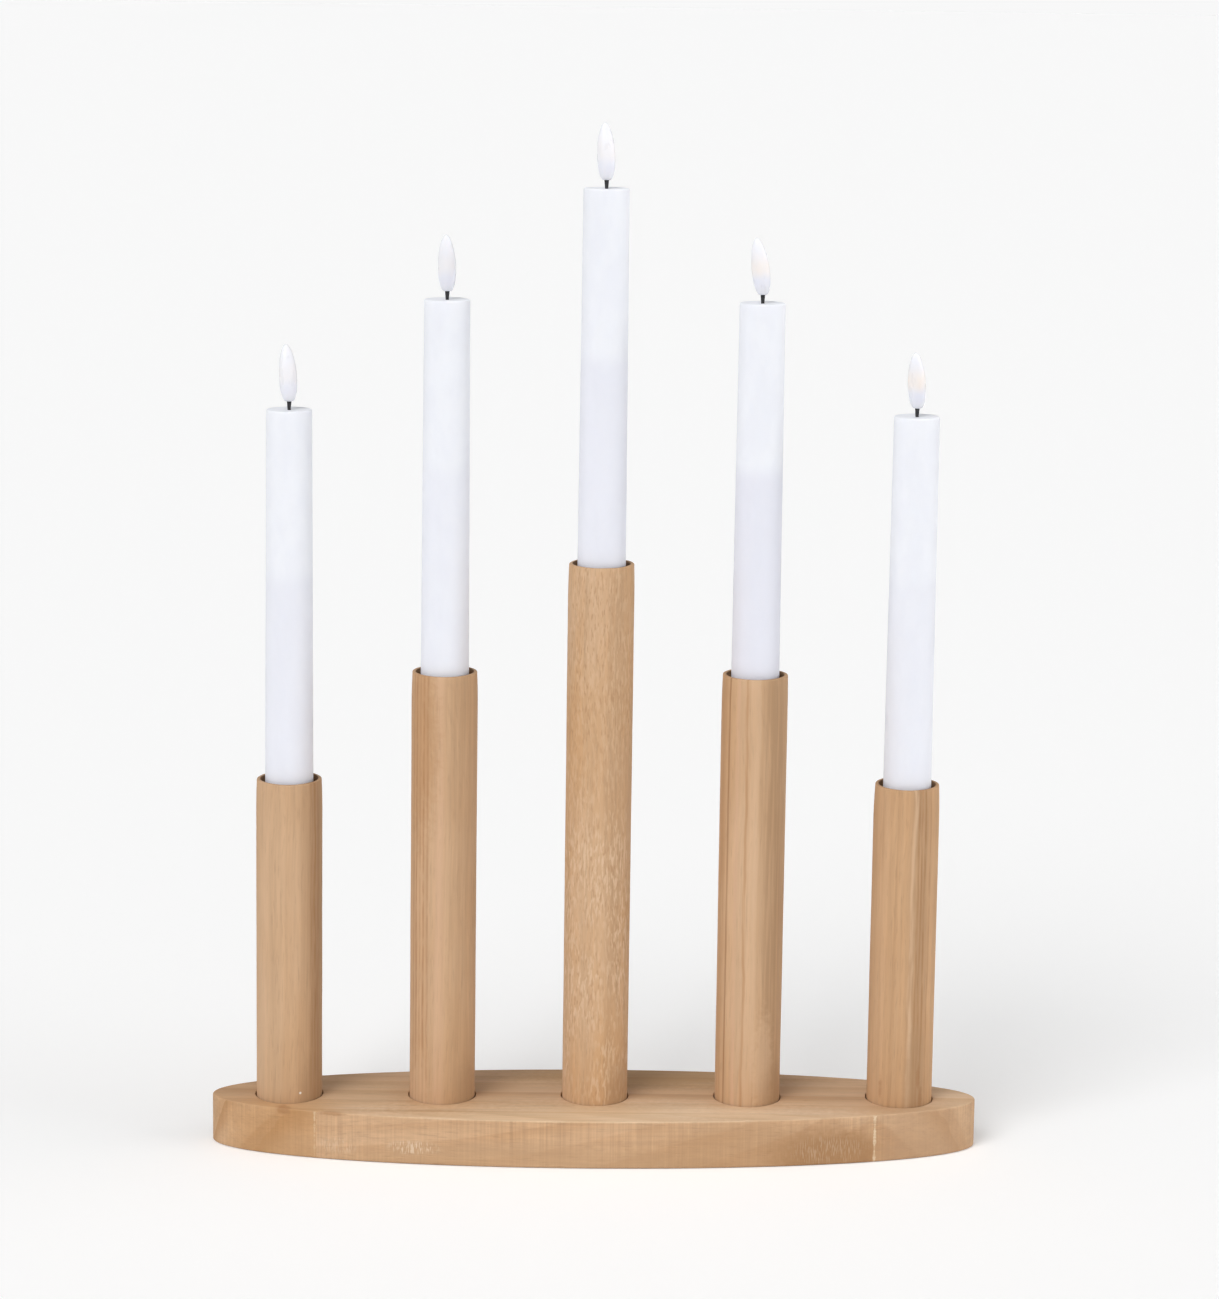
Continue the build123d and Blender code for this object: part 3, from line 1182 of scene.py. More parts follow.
def rounded(corners: Sequence[Corner], steps: int) -> Outline:
    """Round the corners of a profile.

    Args:
        corners: the corners in order.
        steps: how many spans each rounded corner has.

    Returns:
        The (radius, height) points of the profile.
    """
    points: Outline = []
    for index, corner in enumerate(corners):
        here = Vector((corner.radius, corner.height))
        if corner.rounding == 0.0:
            points.append(tuple(here))
            continue
        before = corners[index - 1]
        after = corners[(index + 1) % len(corners)]
        back = (Vector((before.radius, before.height)) - here).normalized()
        ahead = (Vector((after.radius, after.height)) - here).normalized()
        half = back.angle(ahead) / 2
        centre = here + (back + ahead).normalized() * (corner.rounding / math.sin(half))
        reach = corner.rounding / math.tan(half)
        first = here + back * reach - centre
        last = here + ahead * reach - centre
        sweep = math.pi - 2 * half
        for step in range(steps + 1):
            share = step / steps
            arm = first * math.sin((1 - share) * sweep) + last * math.sin(share * sweep)
            points.append(tuple(centre + arm / math.sin(sweep)))
    return points


def divided(profile: Outline, longest: float) -> Outline:
    """Divide the long straight runs of a profile.

    Args:
        profile: the (radius, height) points.
        longest: the longest run that may stay.

    Returns:
        The points with the added ones.
    """
    points = [profile[0]]
    for first, last in zip(profile, profile[1:]):
        count = max(1, math.ceil(math.dist(first, last) / longest))
        for step in range(1, count + 1):
            share = step / count
            points.append((first[0] + (last[0] - first[0]) * share, first[1] + (last[1] - first[1]) * share))
    return points


class Draft:
    """A mesh in the making, in metres in the holder's own frame."""

    def __init__(self) -> None:
        """Start an empty mesh."""
        self.mesh = bmesh.new()

    def row(self, points: Iterable[Sequence[float]]) -> Row:
        """Add a row of points."""
        return [self.mesh.verts.new(point) for point in points]

    def skin(self, lower: Row, upper: Row, closed: bool) -> None:
        """Span faces between two rows of as many points.

        Args:
            lower: the first row.
            upper: the second row.
            closed: whether the rows are rings.
        """
        for index in range(len(lower) if closed else len(lower) - 1):
            after = (index + 1) % len(lower)
            self.mesh.faces.new((lower[index], lower[after], upper[after], upper[index]))

    def cap(self, row: Row) -> None:
        """Close a row with one flat face."""
        self.mesh.faces.new(row)

    def fan(self, row: Row, centre: Sequence[float]) -> None:
        """Close a ring with triangles to a middle point.

        Args:
            row: the ring.
            centre: the middle point.
        """
        middle = self.mesh.verts.new(centre)
        for index, corner in enumerate(row):
            self.mesh.faces.new((corner, row[(index + 1) % len(row)], middle))

    def fill(self, loops: Sequence[Row]) -> None:
        """Fill a flat face between an outline and the holes in it.

        Args:
            loops: the outline and the holes, each a closed ring.
        """
        edges = []
        for loop in loops:
            for index, corner in enumerate(loop):
                pair = (corner, loop[(index + 1) % len(loop)])
                edges.append(self.mesh.edges.get(pair) or self.mesh.edges.new(pair))
        bmesh.ops.triangle_fill(self.mesh, use_beauty=True, edges=edges)

    def turn(
        self,
        profile: Outline,
        axis: PlanPoint,
        sides: int,
        stray: Callable[[float, float, float], Span],
    ) -> None:
        """Turn a profile about an upright axis.

        Args:
            profile: the (radius, height) points, which start and end on the axis or form a closed loop.
            axis: where the axis stands.
            sides: how many sides the turned form has.
            stray: how far the radius and the height stray at an angle, a radius and a height.
        """
        rows = []
        for radius, height in profile:
            if radius == 0.0:
                rows.append(None)
                continue
            points = []
            for side in range(sides):
                angle = side * math.tau / sides
                wider, higher = stray(angle, radius, height)
                reach = radius + wider
                x = axis[0] + reach * math.cos(angle)
                y = axis[1] + reach * math.sin(angle)
                points.append((x, y, height + higher))
            rows.append(self.row(points))
        for index, (lower, upper) in enumerate(zip(rows, rows[1:])):
            if lower is None:
                self.fan(upper, (*axis, profile[index][1]))
            elif upper is None:
                self.fan(lower, (*axis, profile[index + 1][1]))
            else:
                self.skin(lower, upper, closed=True)
        if rows[0] is not None and rows[-1] is not None:
            self.skin(rows[-1], rows[0], closed=True)

    def piece(self, name: str, sharp: float = 35.0) -> bpy.types.Object:
        """Finish the mesh.

        Args:
            name: the piece's name.
            sharp: the angle in degrees above which an edge stays sharp.

        Returns:
            The new object.
        """
        bmesh.ops.recalc_face_normals(self.mesh, faces=self.mesh.faces)
        data = bpy.data.meshes.new(name)
        self.mesh.to_mesh(data)
        self.mesh.free()
        data.shade_smooth()
        data.set_sharp_from_angle(angle=math.radians(sharp))
        made = bpy.data.objects.new(name, data)
        bpy.context.scene.collection.objects.link(made)
        return made


def dress(node: str, material: bpy.types.Material) -> None:
    """Give a piece that keeps its own shape its material.

    Args:
        node: the piece.
        material: its material.
    """
    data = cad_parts[node].data
    data.materials.clear()
    data.materials.append(material)
    LOG.info("dressed %s in %s", node, material.name)


def settle(piece: bpy.types.Object, node: str, body: str, material: bpy.types.Material) -> None:
    """Put a new piece in the place of a plain one.

    Args:
        piece: the new piece.
        node: the piece that it stands for.
        body: the body that it moves with.
        material: its material.
    """
    piece.data.materials.append(material)
    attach(piece, body)
    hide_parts(node)
    LOG.info("built %s with %d points", piece.name, len(piece.data.vertices))


def ripple(point: Sequence[float], scale: float) -> float:
    """Smooth noise from 0 to 1 at a point, with that many changes a metre."""
    return 0.5 + 0.5 * noise.noise(Vector(point) * scale)


@dataclass
class WoodenBase:
    """The oval base: three boards glued edge to edge, sawn to an oval and bored for the tubes."""

    edge: float = 0.8 * MILLIMETRE
    socket_radius: float = 15.5 * MILLIMETRE
    socket_floor: float = 10.0 * MILLIMETRE
    socket_edge: float = 0.15 * MILLIMETRE
    seam_groove: float = 0.22 * MILLIMETRE
    seam_spread: float = 0.7 * MILLIMETRE
    seam_shares: Sequence[float] = (0.0, 0.3, 0.6, 1.0)
    least_groove: float = 0.35
    tear_place: float = 0.3
    tear_rate: float = 430.0
    halvings: int = 50
    edge_steps: int = 4
    wall_steps: int = 22
    arc_steps: int = 150
    socket_sides: int = 120
    half_length: float = field(init=False)
    half_depth: float = field(init=False)
    seam: float = field(init=False)
    top: float = field(init=False)

    def __post_init__(self) -> None:
        """Take the oval's main sizes from its solid boards."""
        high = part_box("base_middle_board")[1]
        self.half_length = high.x
        self.seam = high.y
        self.top = high.z
        self.half_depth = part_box("base_rear_board")[1].y

    def on_oval(self, turn: float, inset: float) -> PlanPoint:
        """A point on the oval's outline.

        Args:
            turn: how far round the oval the point lies, in radians.
            inset: how far the outline is drawn in.

        Returns:
            The point's place along and across the base.
        """
        along, across = math.cos(turn), math.sin(turn)
        lean = math.hypot(self.half_depth * along, self.half_length * across)
        x = self.half_length * along - inset * self.half_depth * along / lean
        y = self.half_depth * across - inset * self.half_length * across / lean
        return x, y

    def seam_turn(self, inset: float) -> float:
        """The turn in the first quarter at which the outline crosses the seam.

        Args:
            inset: how far the outline is drawn in.

        Returns:
            The turn in radians.
        """
        low, high = 0.0, math.pi / 2
        for _ in range(self.halvings):
            middle = (low + high) / 2
            if self.on_oval(middle, inset)[1] < self.seam:
                low = middle
            else:
                high = middle
        return low

    def levels(self) -> Outline:
        """The levels of the sawn edge, with its eased arrises.

        Returns:
            The (inset, height) of each level.
        """
        turns = [step * math.pi / 2 / self.edge_steps for step in range(self.edge_steps + 1)]
        arris = [(self.edge * (1 - math.sin(turn)), self.edge * (1 - math.cos(turn))) for turn in turns]
        rise = self.top - 2 * self.edge
        wall = [(0.0, self.edge + rise * step / self.wall_steps) for step in range(1, self.wall_steps)]
        return arris + wall + [(inset, self.top - height) for inset, height in reversed(arris)]

    def arc(self, inset: float, height: float, ends: Callable[[float], Span]) -> list[Point]:
        """One level of the sawn edge between two seams.

        Args:
            inset: how far the level is drawn in.
            height: the level's height.
            ends: gives the turns at which the stretch begins and ends from the turn at the seam.

        Returns:
            The points of the level, drawn in further beside the seams.
        """
        torn = ripple((self.tear_place, inset, height), self.tear_rate)
        groove = self.seam_groove * (self.least_groove + (1 - self.least_groove) * torn)
        start, end = ends(self.seam_turn(inset + groove))
        length = math.dist(self.on_oval(start, 0.0), self.on_oval((start + end) / 2, 0.0)) * 2
        close = [share * self.seam_spread / length for share in self.seam_shares]
        inner = [step / self.arc_steps for step in range(1, self.arc_steps)]
        shares = close + [share for share in inner if close[-1] < share < 1 - close[-1]]
        shares += [1 - share for share in reversed(close)]
        points = []
        for share in shares:
            beside = min(share, 1 - share) * length / self.seam_spread
            drawn = inset + groove * max(0.0, 1 - beside)
            points.append((*self.on_oval(start + (end - start) * share, drawn), height))
        return points

    def outer_board(self, name: str, side: int) -> bpy.types.Object:
        """Build the front or the rear board.

        Args:
            name: the piece's name.
            side: -1 for the front board, 1 for the rear one.

        Returns:
            The board.
        """
        draft = Draft()
        rows = []
        for inset, height in self.levels():
            points = self.arc(inset, height, lambda turn: (turn, math.pi - turn))
            rows.append(draft.row((x, side * y, z) for x, y, z in points))
        for lower, upper in zip(rows, rows[1:]):
            draft.skin(lower, upper, closed=False)
        draft.cap(rows[0])
        draft.cap(rows[-1])
        draft.cap([row[0] for row in rows] + [row[-1] for row in reversed(rows)])
        return draft.piece(name)

    def middle_board(self, name: str) -> bpy.types.Object:
        """Build the middle board with its sockets.

        Args:
            name: the piece's name.

        Returns:
            The board.
        """
        draft = Draft()
        right, left = [], []
        for inset, height in self.levels():
            right.append(draft.row(self.arc(inset, height, lambda turn: (-turn, turn))))
            left.append(draft.row(self.arc(inset, height, lambda turn: (math.pi - turn, math.pi + turn))))
        for rows in (right, left):
            for lower, upper in zip(rows, rows[1:]):
                draft.skin(lower, upper, closed=False)
        draft.cap(right[0] + left[0])
        draft.cap([row[0] for row in right] + [row[-1] for row in reversed(left)])
        draft.cap([row[-1] for row in right] + [row[0] for row in reversed(left)])
        draft.fill([right[-1] + left[-1], *(self.socket(draft, place) for place in Place)])
        return draft.piece(name)

    def socket(self, draft: Draft, place: Place) -> Row:
        """Add the wall and floor of one socket.

        Args:
            draft: the middle board's mesh.
            place: the tube that stands in the socket.

        Returns:
            The row of points round the socket's mouth.
        """
        low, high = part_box(place.node("tube"))
        middle = (low.x + high.x) / 2
        turns = [side * math.tau / self.socket_sides for side in range(self.socket_sides)]
        mouth = (self.socket_edge, self.top)
        wall = (0.0, self.top - self.socket_edge)
        floor = (0.0, self.socket_floor)
        rows = []
        for wider, height in (mouth, wall, floor):
            reach = self.socket_radius + wider
            points = ((middle + reach * math.cos(turn), reach * math.sin(turn), height) for turn in turns)
            rows.append(draft.row(points))
        for upper, lower in zip(rows, rows[1:]):
            draft.skin(upper, lower, closed=True)
        draft.cap(rows[-1])
        return rows[0]

    def build(self, wood: dict[str, Wood]) -> None:
        """Build the three boards and dress each in its wood.

        Args:
            wood: the wood by the names of the boards.
        """
        boards = {
            "base_middle_board": self.middle_board("middle_board_wood"),
            "base_front_board": self.outer_board("front_board_wood", -1),
            "base_rear_board": self.outer_board("rear_board_wood", 1),
        }
        for node, board in boards.items():
            settle(board, node, "base", wood[node].material(f"{node}_grain"))


@dataclass
class WoodenTube:
    """A plug-in tube: a dowel with a candle bore, a little uneven from turning and sanding by hand."""

    place: Place
    wood: Wood
    bore_radius: float = 13.0 * MILLIMETRE
    bore_depth: float = 32.0 * MILLIMETRE
    rim_rounding: float = 0.5 * MILLIMETRE
    foot_rounding: float = 1.0 * MILLIMETRE
    sides: int = 128
    corner_steps: int = 4
    longest_run: float = 5.0 * MILLIMETRE
    wear: float = 0.14 * MILLIMETRE
    rim_wear: float = 0.22 * MILLIMETRE
    sanding: float = 0.75 * MILLIMETRE
    sanded_height: float = 16.0 * MILLIMETRE
    noise_radius: float = 10.0 * MILLIMETRE
    noise_rise: float = 0.35
    sanding_level: float = 0.5
    sanding_rate: float = 120.0
    wear_rate: float = 90.0
    rim_rate: float = 160.0

    def build(self) -> None:
        """Build and dress the tube."""
        node = self.place.node("tube")
        low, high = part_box(node)
        radius = (high.x - low.x) / 2
        axis = ((low.x + high.x) / 2, (low.y + high.y) / 2)
        floor = high.z - self.bore_depth
        corners = (
            Corner(0.0, low.z),
            Corner(radius, low.z, self.foot_rounding),
            Corner(radius, high.z, self.rim_rounding),
            Corner(self.bore_radius, high.z, self.rim_rounding),
            Corner(self.bore_radius, floor),
            Corner(0.0, floor),
        )

        def stray(angle: float, reach: float, height: float) -> Span:
            """Wear the outside and dip the rim, never past the tube's true size.

            Args:
                angle: the angle about the tube's axis.
                reach: the radius of the profile.
                height: the height of the profile.

            Returns:
                How far the radius and the height stray.
            """
            x = axis[0] + self.noise_radius * math.cos(angle)
            y = self.noise_radius * math.sin(angle)
            worn = 0.0
            if reach > self.bore_radius + self.rim_rounding:
                near_rim = max(0.0, 1 - (high.z - height) / self.sanded_height)
                sanded = self.sanding * near_rim**2 * ripple((x, y, self.sanding_level), self.sanding_rate)
                worn = -self.wear * ripple((x, y, self.noise_rise * height), self.wear_rate) - sanded
            rim = max(0.0, 1 - (high.z - height) / self.rim_rounding)
            dip = -self.rim_wear * rim * ripple((x, y, axis[0]), self.rim_rate)
            return worn, dip

        draft = Draft()
        draft.turn(divided(rounded(corners, self.corner_steps), self.longest_run), axis, self.sides, stray)
        piece = draft.piece(f"{node}_wood")
        settle(piece, node, node, self.wood.material(f"{node}_grain"))


@dataclass
class BatteryCandle:
    """A battery candle: wax on a moulded core, with cells, board, lamp, wick, flame, cap and switch."""

    place: Place
    core_shade_share: float
    glow_strength: float
    wax: Wax = Wax()
    glow: FlameGlow = FlameGlow()
    core_plastic: Moulding = Moulding((0.80, 0.80, 0.78), (0.74, 0.74, 0.72))
    cap_plastic: Moulding = Moulding((0.83, 0.83, 0.85), (0.77, 0.77, 0.79))
    switch_plastic: Moulding = Moulding((0.020, 0.020, 0.022), (0.035, 0.035, 0.037), (0.44, 0.58))
    core_radius: float = 9.1 * MILLIMETRE
    core_top: float = 125.2 * MILLIMETRE
    conduit_radius: float = 3.1 * MILLIMETRE
    conduit_cover: float = 2.9 * MILLIMETRE
    wick_hole: float = 0.95 * MILLIMETRE
    taper: float = 0.7 * MILLIMETRE
    top_rounding: float = 0.7 * MILLIMETRE
    dish_rim: float = 2.2 * MILLIMETRE
    dish_depth: float = 0.3 * MILLIMETRE
    sides: int = 112
    corner_steps: int = 6
    longest_run: float = 6.0 * MILLIMETRE
    wave: float = 0.07 * MILLIMETRE
    wave_rate: float = 110.0
    noise_radius: float = 10.0 * MILLIMETRE
    noise_rise: float = 0.5
    outside: float = 0.9

    def build_wax(self) -> None:
        """Build and dress the wax sleeve with its rounded, dished top."""
        node = self.place.node("wax_body")
        low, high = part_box(node)
        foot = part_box(self.place.node("battery_cap"))[0].z
        radius = (high.x - low.x) / 2
        axis = ((low.x + high.x) / 2, (low.y + high.y) / 2)
        top_radius = radius - self.taper
        shoulder = foot + self.core_top
        corners = (
            Corner(self.core_radius, low.z),
            Corner(radius, low.z),
            Corner(top_radius, high.z, self.top_rounding),
            Corner(top_radius - self.dish_rim, high.z, self.top_rounding),
            Corner(self.wick_hole, high.z - self.dish_depth),
            Corner(self.wick_hole, high.z - self.conduit_cover),
            Corner(self.conduit_radius, high.z - self.conduit_cover),
            Corner(self.conduit_radius, shoulder),
            Corner(self.core_radius, shoulder),
        )

        def stray(angle: float, reach: float, height: float) -> Span:
            """Let the dipped wax swell and sink a little on the outside.

            Args:
                angle: the angle about the candle's axis.
                reach: the radius of the profile.
                height: the height of the profile.

            Returns:
                How far the radius and the height stray.
            """
            if reach <= self.outside * top_radius:
                return 0.0, 0.0
            x = axis[0] + self.noise_radius * math.cos(angle)
            y = self.noise_radius * math.sin(angle)
            return -self.wave * ripple((x, y, self.noise_rise * height), self.wave_rate), 0.0

        draft = Draft()
        draft.turn(divided(rounded(corners, self.corner_steps), self.longest_run), axis, self.sides, stray)
        piece = draft.piece(f"{node}_dipped")
        finish = self.wax.material(f"{node}_finish", foot, self.core_shade_share)
        settle(piece, node, self.place.node("candle"), finish)

    def dress_pieces(self) -> None:
        """Dress the pieces that keep their own shapes."""
        name = self.place.node
        flame_low, flame_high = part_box(name("flame"))
        finishes = {
            "flame": self.glow.material(name("flame_milk"), flame_low.z, flame_high.z, self.glow_strength),
            "wick": Wick().material(name("wick_black")),
            "core": self.core_plastic.material(name("core_plastic")),
            "cells": CellSleeve().material(name("cell_sleeve"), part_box(name("cells"))[0].z),
            "circuit_board": CircuitBoard().material(name("board_mask"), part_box(name("circuit_board"))[1].z),
            "led": LampLens().material(name("lamp_lens"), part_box(name("led"))[1].z),
            "battery_cap": self.cap_plastic.material(name("cap_plastic")),
            "battery_contact": PlatedSteel().material(name("contact_plate")),
            "switch": self.switch_plastic.material(name("switch_plastic")),
        }
        for piece, material in finishes.items():
            dress(name(piece), material)


@dataclass
class Studio:
    """The plain pale floor, the soft light and the camera."""

    background: float = 0.939
    floor_albedo: float = 0.90
    floor_top_up: float = 0.162
    floor_drop: float = 0.2 * MILLIMETRE
    floor_reach: float = 60.0
    floor_rough: Span = (0.85, 0.95)
    paper_scale: Point = (3.0, 3.0, 3.0)
    front_sky: float = 0.57
    rear_sky: float = 0.22
    sky_turn: Span = (-0.4, 0.6)
    key_strength: float = 1.60
    key_from: Point = (-0.62, -0.86, 1.0)
    key_spread: float = 34.0
    fill_strength: float = 1.45
    fill_from: Point = (1.0, -0.15, 0.20)
    fill_spread: float = 50.0
    eye: Point = (-0.025, -1.5, 0.53)
    yaw: float = 1.07
    pitch: float = 8.44
    roll: float = 0.78
    lens: float = 94.0
    shift: float = -0.13

    def seen(self, graph: Graph) -> Socket:
        """Where the camera sees a surface directly, mirrored or through glass.

        Args:
            graph: the tree that is built.

        Returns:
            The socket with a share of 1 there and 0 elsewhere.
        """
        path = graph.node("ShaderNodeLightPath", {}).outputs
        mirrored = graph.math("MAXIMUM", path["Is Glossy Ray"], path["Is Transmission Ray"])
        return graph.math("MAXIMUM", path["Is Camera Ray"], mirrored)

    def build_floor(self) -> None:
        """Lay the pale floor, which keeps the holder's shadow."""
        draft = Draft()
        reach = self.floor_reach
        corners = ((-reach, -reach), (reach, -reach), (reach, reach), (-reach, reach))
        draft.cap(draft.row((x, y, -self.floor_drop) for x, y in corners))
        floor = draft.piece("studio_floor")
        graph = Graph.material("studio_floor_paint")
        top_up = graph.product(self.seen(graph), self.floor_top_up)
        paper = graph.noise(graph.place(), self.paper_scale)
        floor.data.materials.append(graph.finish(
            Base_Color=(self.floor_albedo, self.floor_albedo, self.floor_albedo),
            Roughness=graph.step(paper, 0.0, 1.0, *self.floor_rough),
            Specular_IOR_Level=0.0,
            Emission_Color=(1.0, 1.0, 1.0),
            Emission_Strength=top_up,
        ))

    def build_sky(self) -> None:
        """Light the scene softly from all round, less from behind, on a pale ground."""
        world = bpy.data.worlds.new("studio_sky")
        graph = Graph(world)
        behind = graph.split(graph.node("ShaderNodeTexCoord", {}).outputs["Generated"])[1]
        light = graph.step(behind, *self.sky_turn, self.front_sky, self.rear_sky)
        missing = graph.math("SUBTRACT", self.background, light)
        strength = graph.math("MULTIPLY_ADD", self.seen(graph), missing, light)
        sky = graph.node("ShaderNodeBackground", {"Color": (1.0, 1.0, 1.0), "Strength": strength})
        graph.node("ShaderNodeOutputWorld", {"Surface": sky.outputs[0]})
        bpy.context.scene.world = world

    def lamp(self, name: str, strength: float, source: Point, spread: float) -> None:
        """Hang a broad distant lamp.

        Args:
            name: the lamp's name.
            strength: its light on a face turned to it.
            source: the direction that it shines from.
            spread: how wide it looks, in degrees.
        """
        data = bpy.data.lights.new(name, "SUN")
        data.energy = strength
        data.angle = math.radians(spread)
        made = bpy.data.objects.new(name, data)
        made.rotation_mode = "QUATERNION"
        made.rotation_quaternion = Vector(source).to_track_quat("Z", "Y")
        bpy.context.scene.collection.objects.link(made)

    def build_camera(self) -> None:
        """Set the camera at the photograph's viewing angle."""
        data = bpy.data.cameras.new("camera")
        data.lens = self.lens
        data.shift_y = self.shift
        data.clip_end = 2 * self.floor_reach
        camera = bpy.data.objects.new("camera", data)
        yaw, pitch, roll = (math.radians(angle) for angle in (self.yaw, self.pitch, self.roll))
        ahead = Vector((math.sin(yaw) * math.cos(pitch), math.cos(yaw) * math.cos(pitch), -math.sin(pitch)))
        right = Vector((math.cos(yaw), -math.sin(yaw), 0.0))
        up = right.cross(ahead)
        across = math.cos(roll) * right + math.sin(roll) * up
        upward = math.cos(roll) * up - math.sin(roll) * right
        turn = Matrix((across, upward, -ahead)).transposed().to_4x4()
        camera.matrix_world = Matrix.Translation(self.eye) @ turn
        bpy.context.scene.collection.objects.link(camera)
        bpy.context.scene.camera = camera

    def build(self) -> None:
        """Set up the whole studio."""
        self.build_floor()
        self.build_sky()
        self.lamp("key_light", self.key_strength, self.key_from, self.key_spread)
        self.lamp("fill_light", self.fill_strength, self.fill_from, self.fill_spread)
        self.build_camera()
        bpy.context.scene.view_settings.view_transform = "Standard"
        LOG.info("set up the studio")


@dataclass(frozen=True)
class BaseTimber:
    """The wood of the base's three boards, with growth lines, saw lines, glue lines, stains and scuffs, and
    painted light and shade on the top.
    """

    base: WoodenBase
    late: Colour = (0.400, 0.212, 0.090)
    glue: Colour = (0.72, 0.56, 0.38)
    worn: Colour = (0.76, 0.62, 0.46)
    # Painted light: how many times lighter the lit parts of the top are tinted.
    painted_light_tint: Colour = (1.22, 1.39, 1.56)
    red: Colour = (0.335, 0.175, 0.090)
    end_level: float = 0.93

    def edge_marks(self) -> tuple[Mark, ...]:
        """The saw lines and the glue lines, which every board's edge has.

        Returns:
            The marks in the order in which they are painted.
        """
        seam = GlueLine(
            reach=self.base.on_oval(self.base.seam_turn(0.0), 0.0)[0],
            left_width=0.52 * MILLIMETRE,
            right_width=0.74 * MILLIMETRE,
            colour=self.glue,
            left_share=0.95,
            right_share=1.0,
        )
        return SawLines(), seam

    def painted_rear_shade(self) -> Stain:
        """Painted shade at the rear of the top, behind the tubes."""
        return Stain((0.026, 0.029, 0.022), (0.090, 0.026, 0.008), (0.320, 0.178, 0.056), 0.54, 0.2)

    def painted_front_light(self) -> PaintedLight:
        """Painted light: the front of the top tinted lighter."""
        return PaintedLight((0.010, -0.036, 0.0222), (0.170, 0.036, 0.0012), self.painted_light_tint, 1.00, 0.2)

    def middle_marks(self) -> tuple[Mark, ...]:
        """The marks of the middle board, whose sawn ends show the growth rings.

        Returns:
            The marks in the order in which they are painted.
        """
        rings = ((-1, -0.0169, 0.50), (-1, -0.0039, 0.62), (1, -0.0225, 0.26), (1, -0.0108, 0.42))
        # Painted light on the top, at its left and at its right.
        left_painted_light = PaintedLight((-0.115, -0.006, 0.0222), (0.042, 0.036, 0.0012), self.painted_light_tint, 0.50, 0.2)
        right_painted_light = PaintedLight((0.156, -0.004, 0.0222), (0.030, 0.032, 0.0012), self.painted_light_tint, 0.66, 0.2)
        left_nick = Stain((-0.1412, -0.0215, 0.0212), (0.005, 0.006, 0.0024), self.red, 0.85)
        left_warm = Stain((-0.140, -0.020, 0.009), (0.042, 0.022, 0.030), (0.500, 0.260, 0.095), 0.36, 0.2)
        right_dull = Stain((0.150, -0.016, 0.010), (0.036, 0.024, 0.030), (0.450, 0.285, 0.168), 0.48, 0.2)
        left_low = Stain((-0.135, -0.022, 0.0005), (0.052, 0.030, 0.013), (0.440, 0.262, 0.130), 0.36, 0.15)
        right_low = Stain((0.150, -0.018, 0.0005), (0.040, 0.030, 0.013), (0.440, 0.282, 0.168), 0.36, 0.15)
        return (
            *(GrowthLine(end, offset, self.late, share) for end, offset, share in rings),
            self.painted_rear_shade(),
            self.painted_front_light(),
            left_painted_light,
            right_painted_light,
            *self.edge_marks(),
            left_nick,
            left_warm,
            right_dull,
            left_low,
            right_low,
        )

    def front_marks(self) -> tuple[Mark, ...]:
        """The marks of the front board, whose sawn edge is stained and scuffed.

        Returns:
            The marks in the order in which they are painted.
        """
        arris = Stain((-0.119, -0.0272, 0.0214), (0.008, 0.005, 0.0012), (0.380, 0.200, 0.090), 0.60)
        right_dull = Stain((0.072, -0.033, 0.006), (0.080, 0.020, 0.023), (0.430, 0.250, 0.124), 0.55, 0.15)
        right_dark = Stain((0.108, -0.029, 0.003), (0.042, 0.018, 0.019), (0.350, 0.190, 0.086), 0.82, 0.15)
        low = Stain((-0.040, -0.035, 0.0005), (0.140, 0.024, 0.015), (0.440, 0.270, 0.142), 0.48, 0.15)
        return (
            self.painted_front_light(),
            *self.edge_marks(),
            arris,
            right_dull,
            right_dark,
            low,
            Scuff((-0.082, -0.033, 0.0078), (0.015, 0.008, 0.0042), self.worn, 0.62),
            Scuff((-0.116, -0.028, 0.0066), (0.012, 0.008, 0.0050), self.worn, 0.28),
            Scuff((0.106, -0.030, 0.0070), (0.024, 0.010, 0.0090), self.worn, 0.21, (1900.0, 1900.0, 260.0)),
        )

    def board(
        self,
        pith: PlanPoint,
        lean: PlanPoint,
        marks: Sequence[Mark],
        ring: float,
        share: float,
        wander: float,
    ) -> Wood:
        """The wood of one board, which lies along the base.

        Args:
            pith: where the log's middle lies, in metres across the fibres.
            lean: how far the pith drifts for each metre along the fibres.
            marks: what else lies on its surface.
            ring: the width of a growth ring.
            share: how strongly the rings show.
            wander: how far the rings stray from true circles.

        Returns:
            The wood.
        """
        middle = (0.0, 0.0, self.base.top / 2)
        return Wood(GrainAxis.ALONG_X, middle, pith, lean, ring=ring, ring_share=share, wander=wander,
                    end_level=self.end_level, marks=marks)

    def build(self) -> dict[str, Wood]:
        """The wood of each board.

        Returns:
            The wood by the names of the boards.
        """
        middle, front = self.middle_marks(), self.front_marks()
        rear = (self.painted_rear_shade(), *self.edge_marks())
        return {
            "base_middle_board": self.board(
                (-0.2342, -0.0680), (-0.0187, 0.0), middle, ring=0.0125, share=0.46, wander=0.0012
            ),
            "base_front_board": self.board(
                (0.030, -0.055), (0.0, 0.22), front, ring=0.0068, share=0.27, wander=0.004
            ),
            "base_rear_board": self.board(
                (0.010, -0.075), (0.01, -0.04), rear, ring=0.0060, share=0.26, wander=0.005
            ),
        }


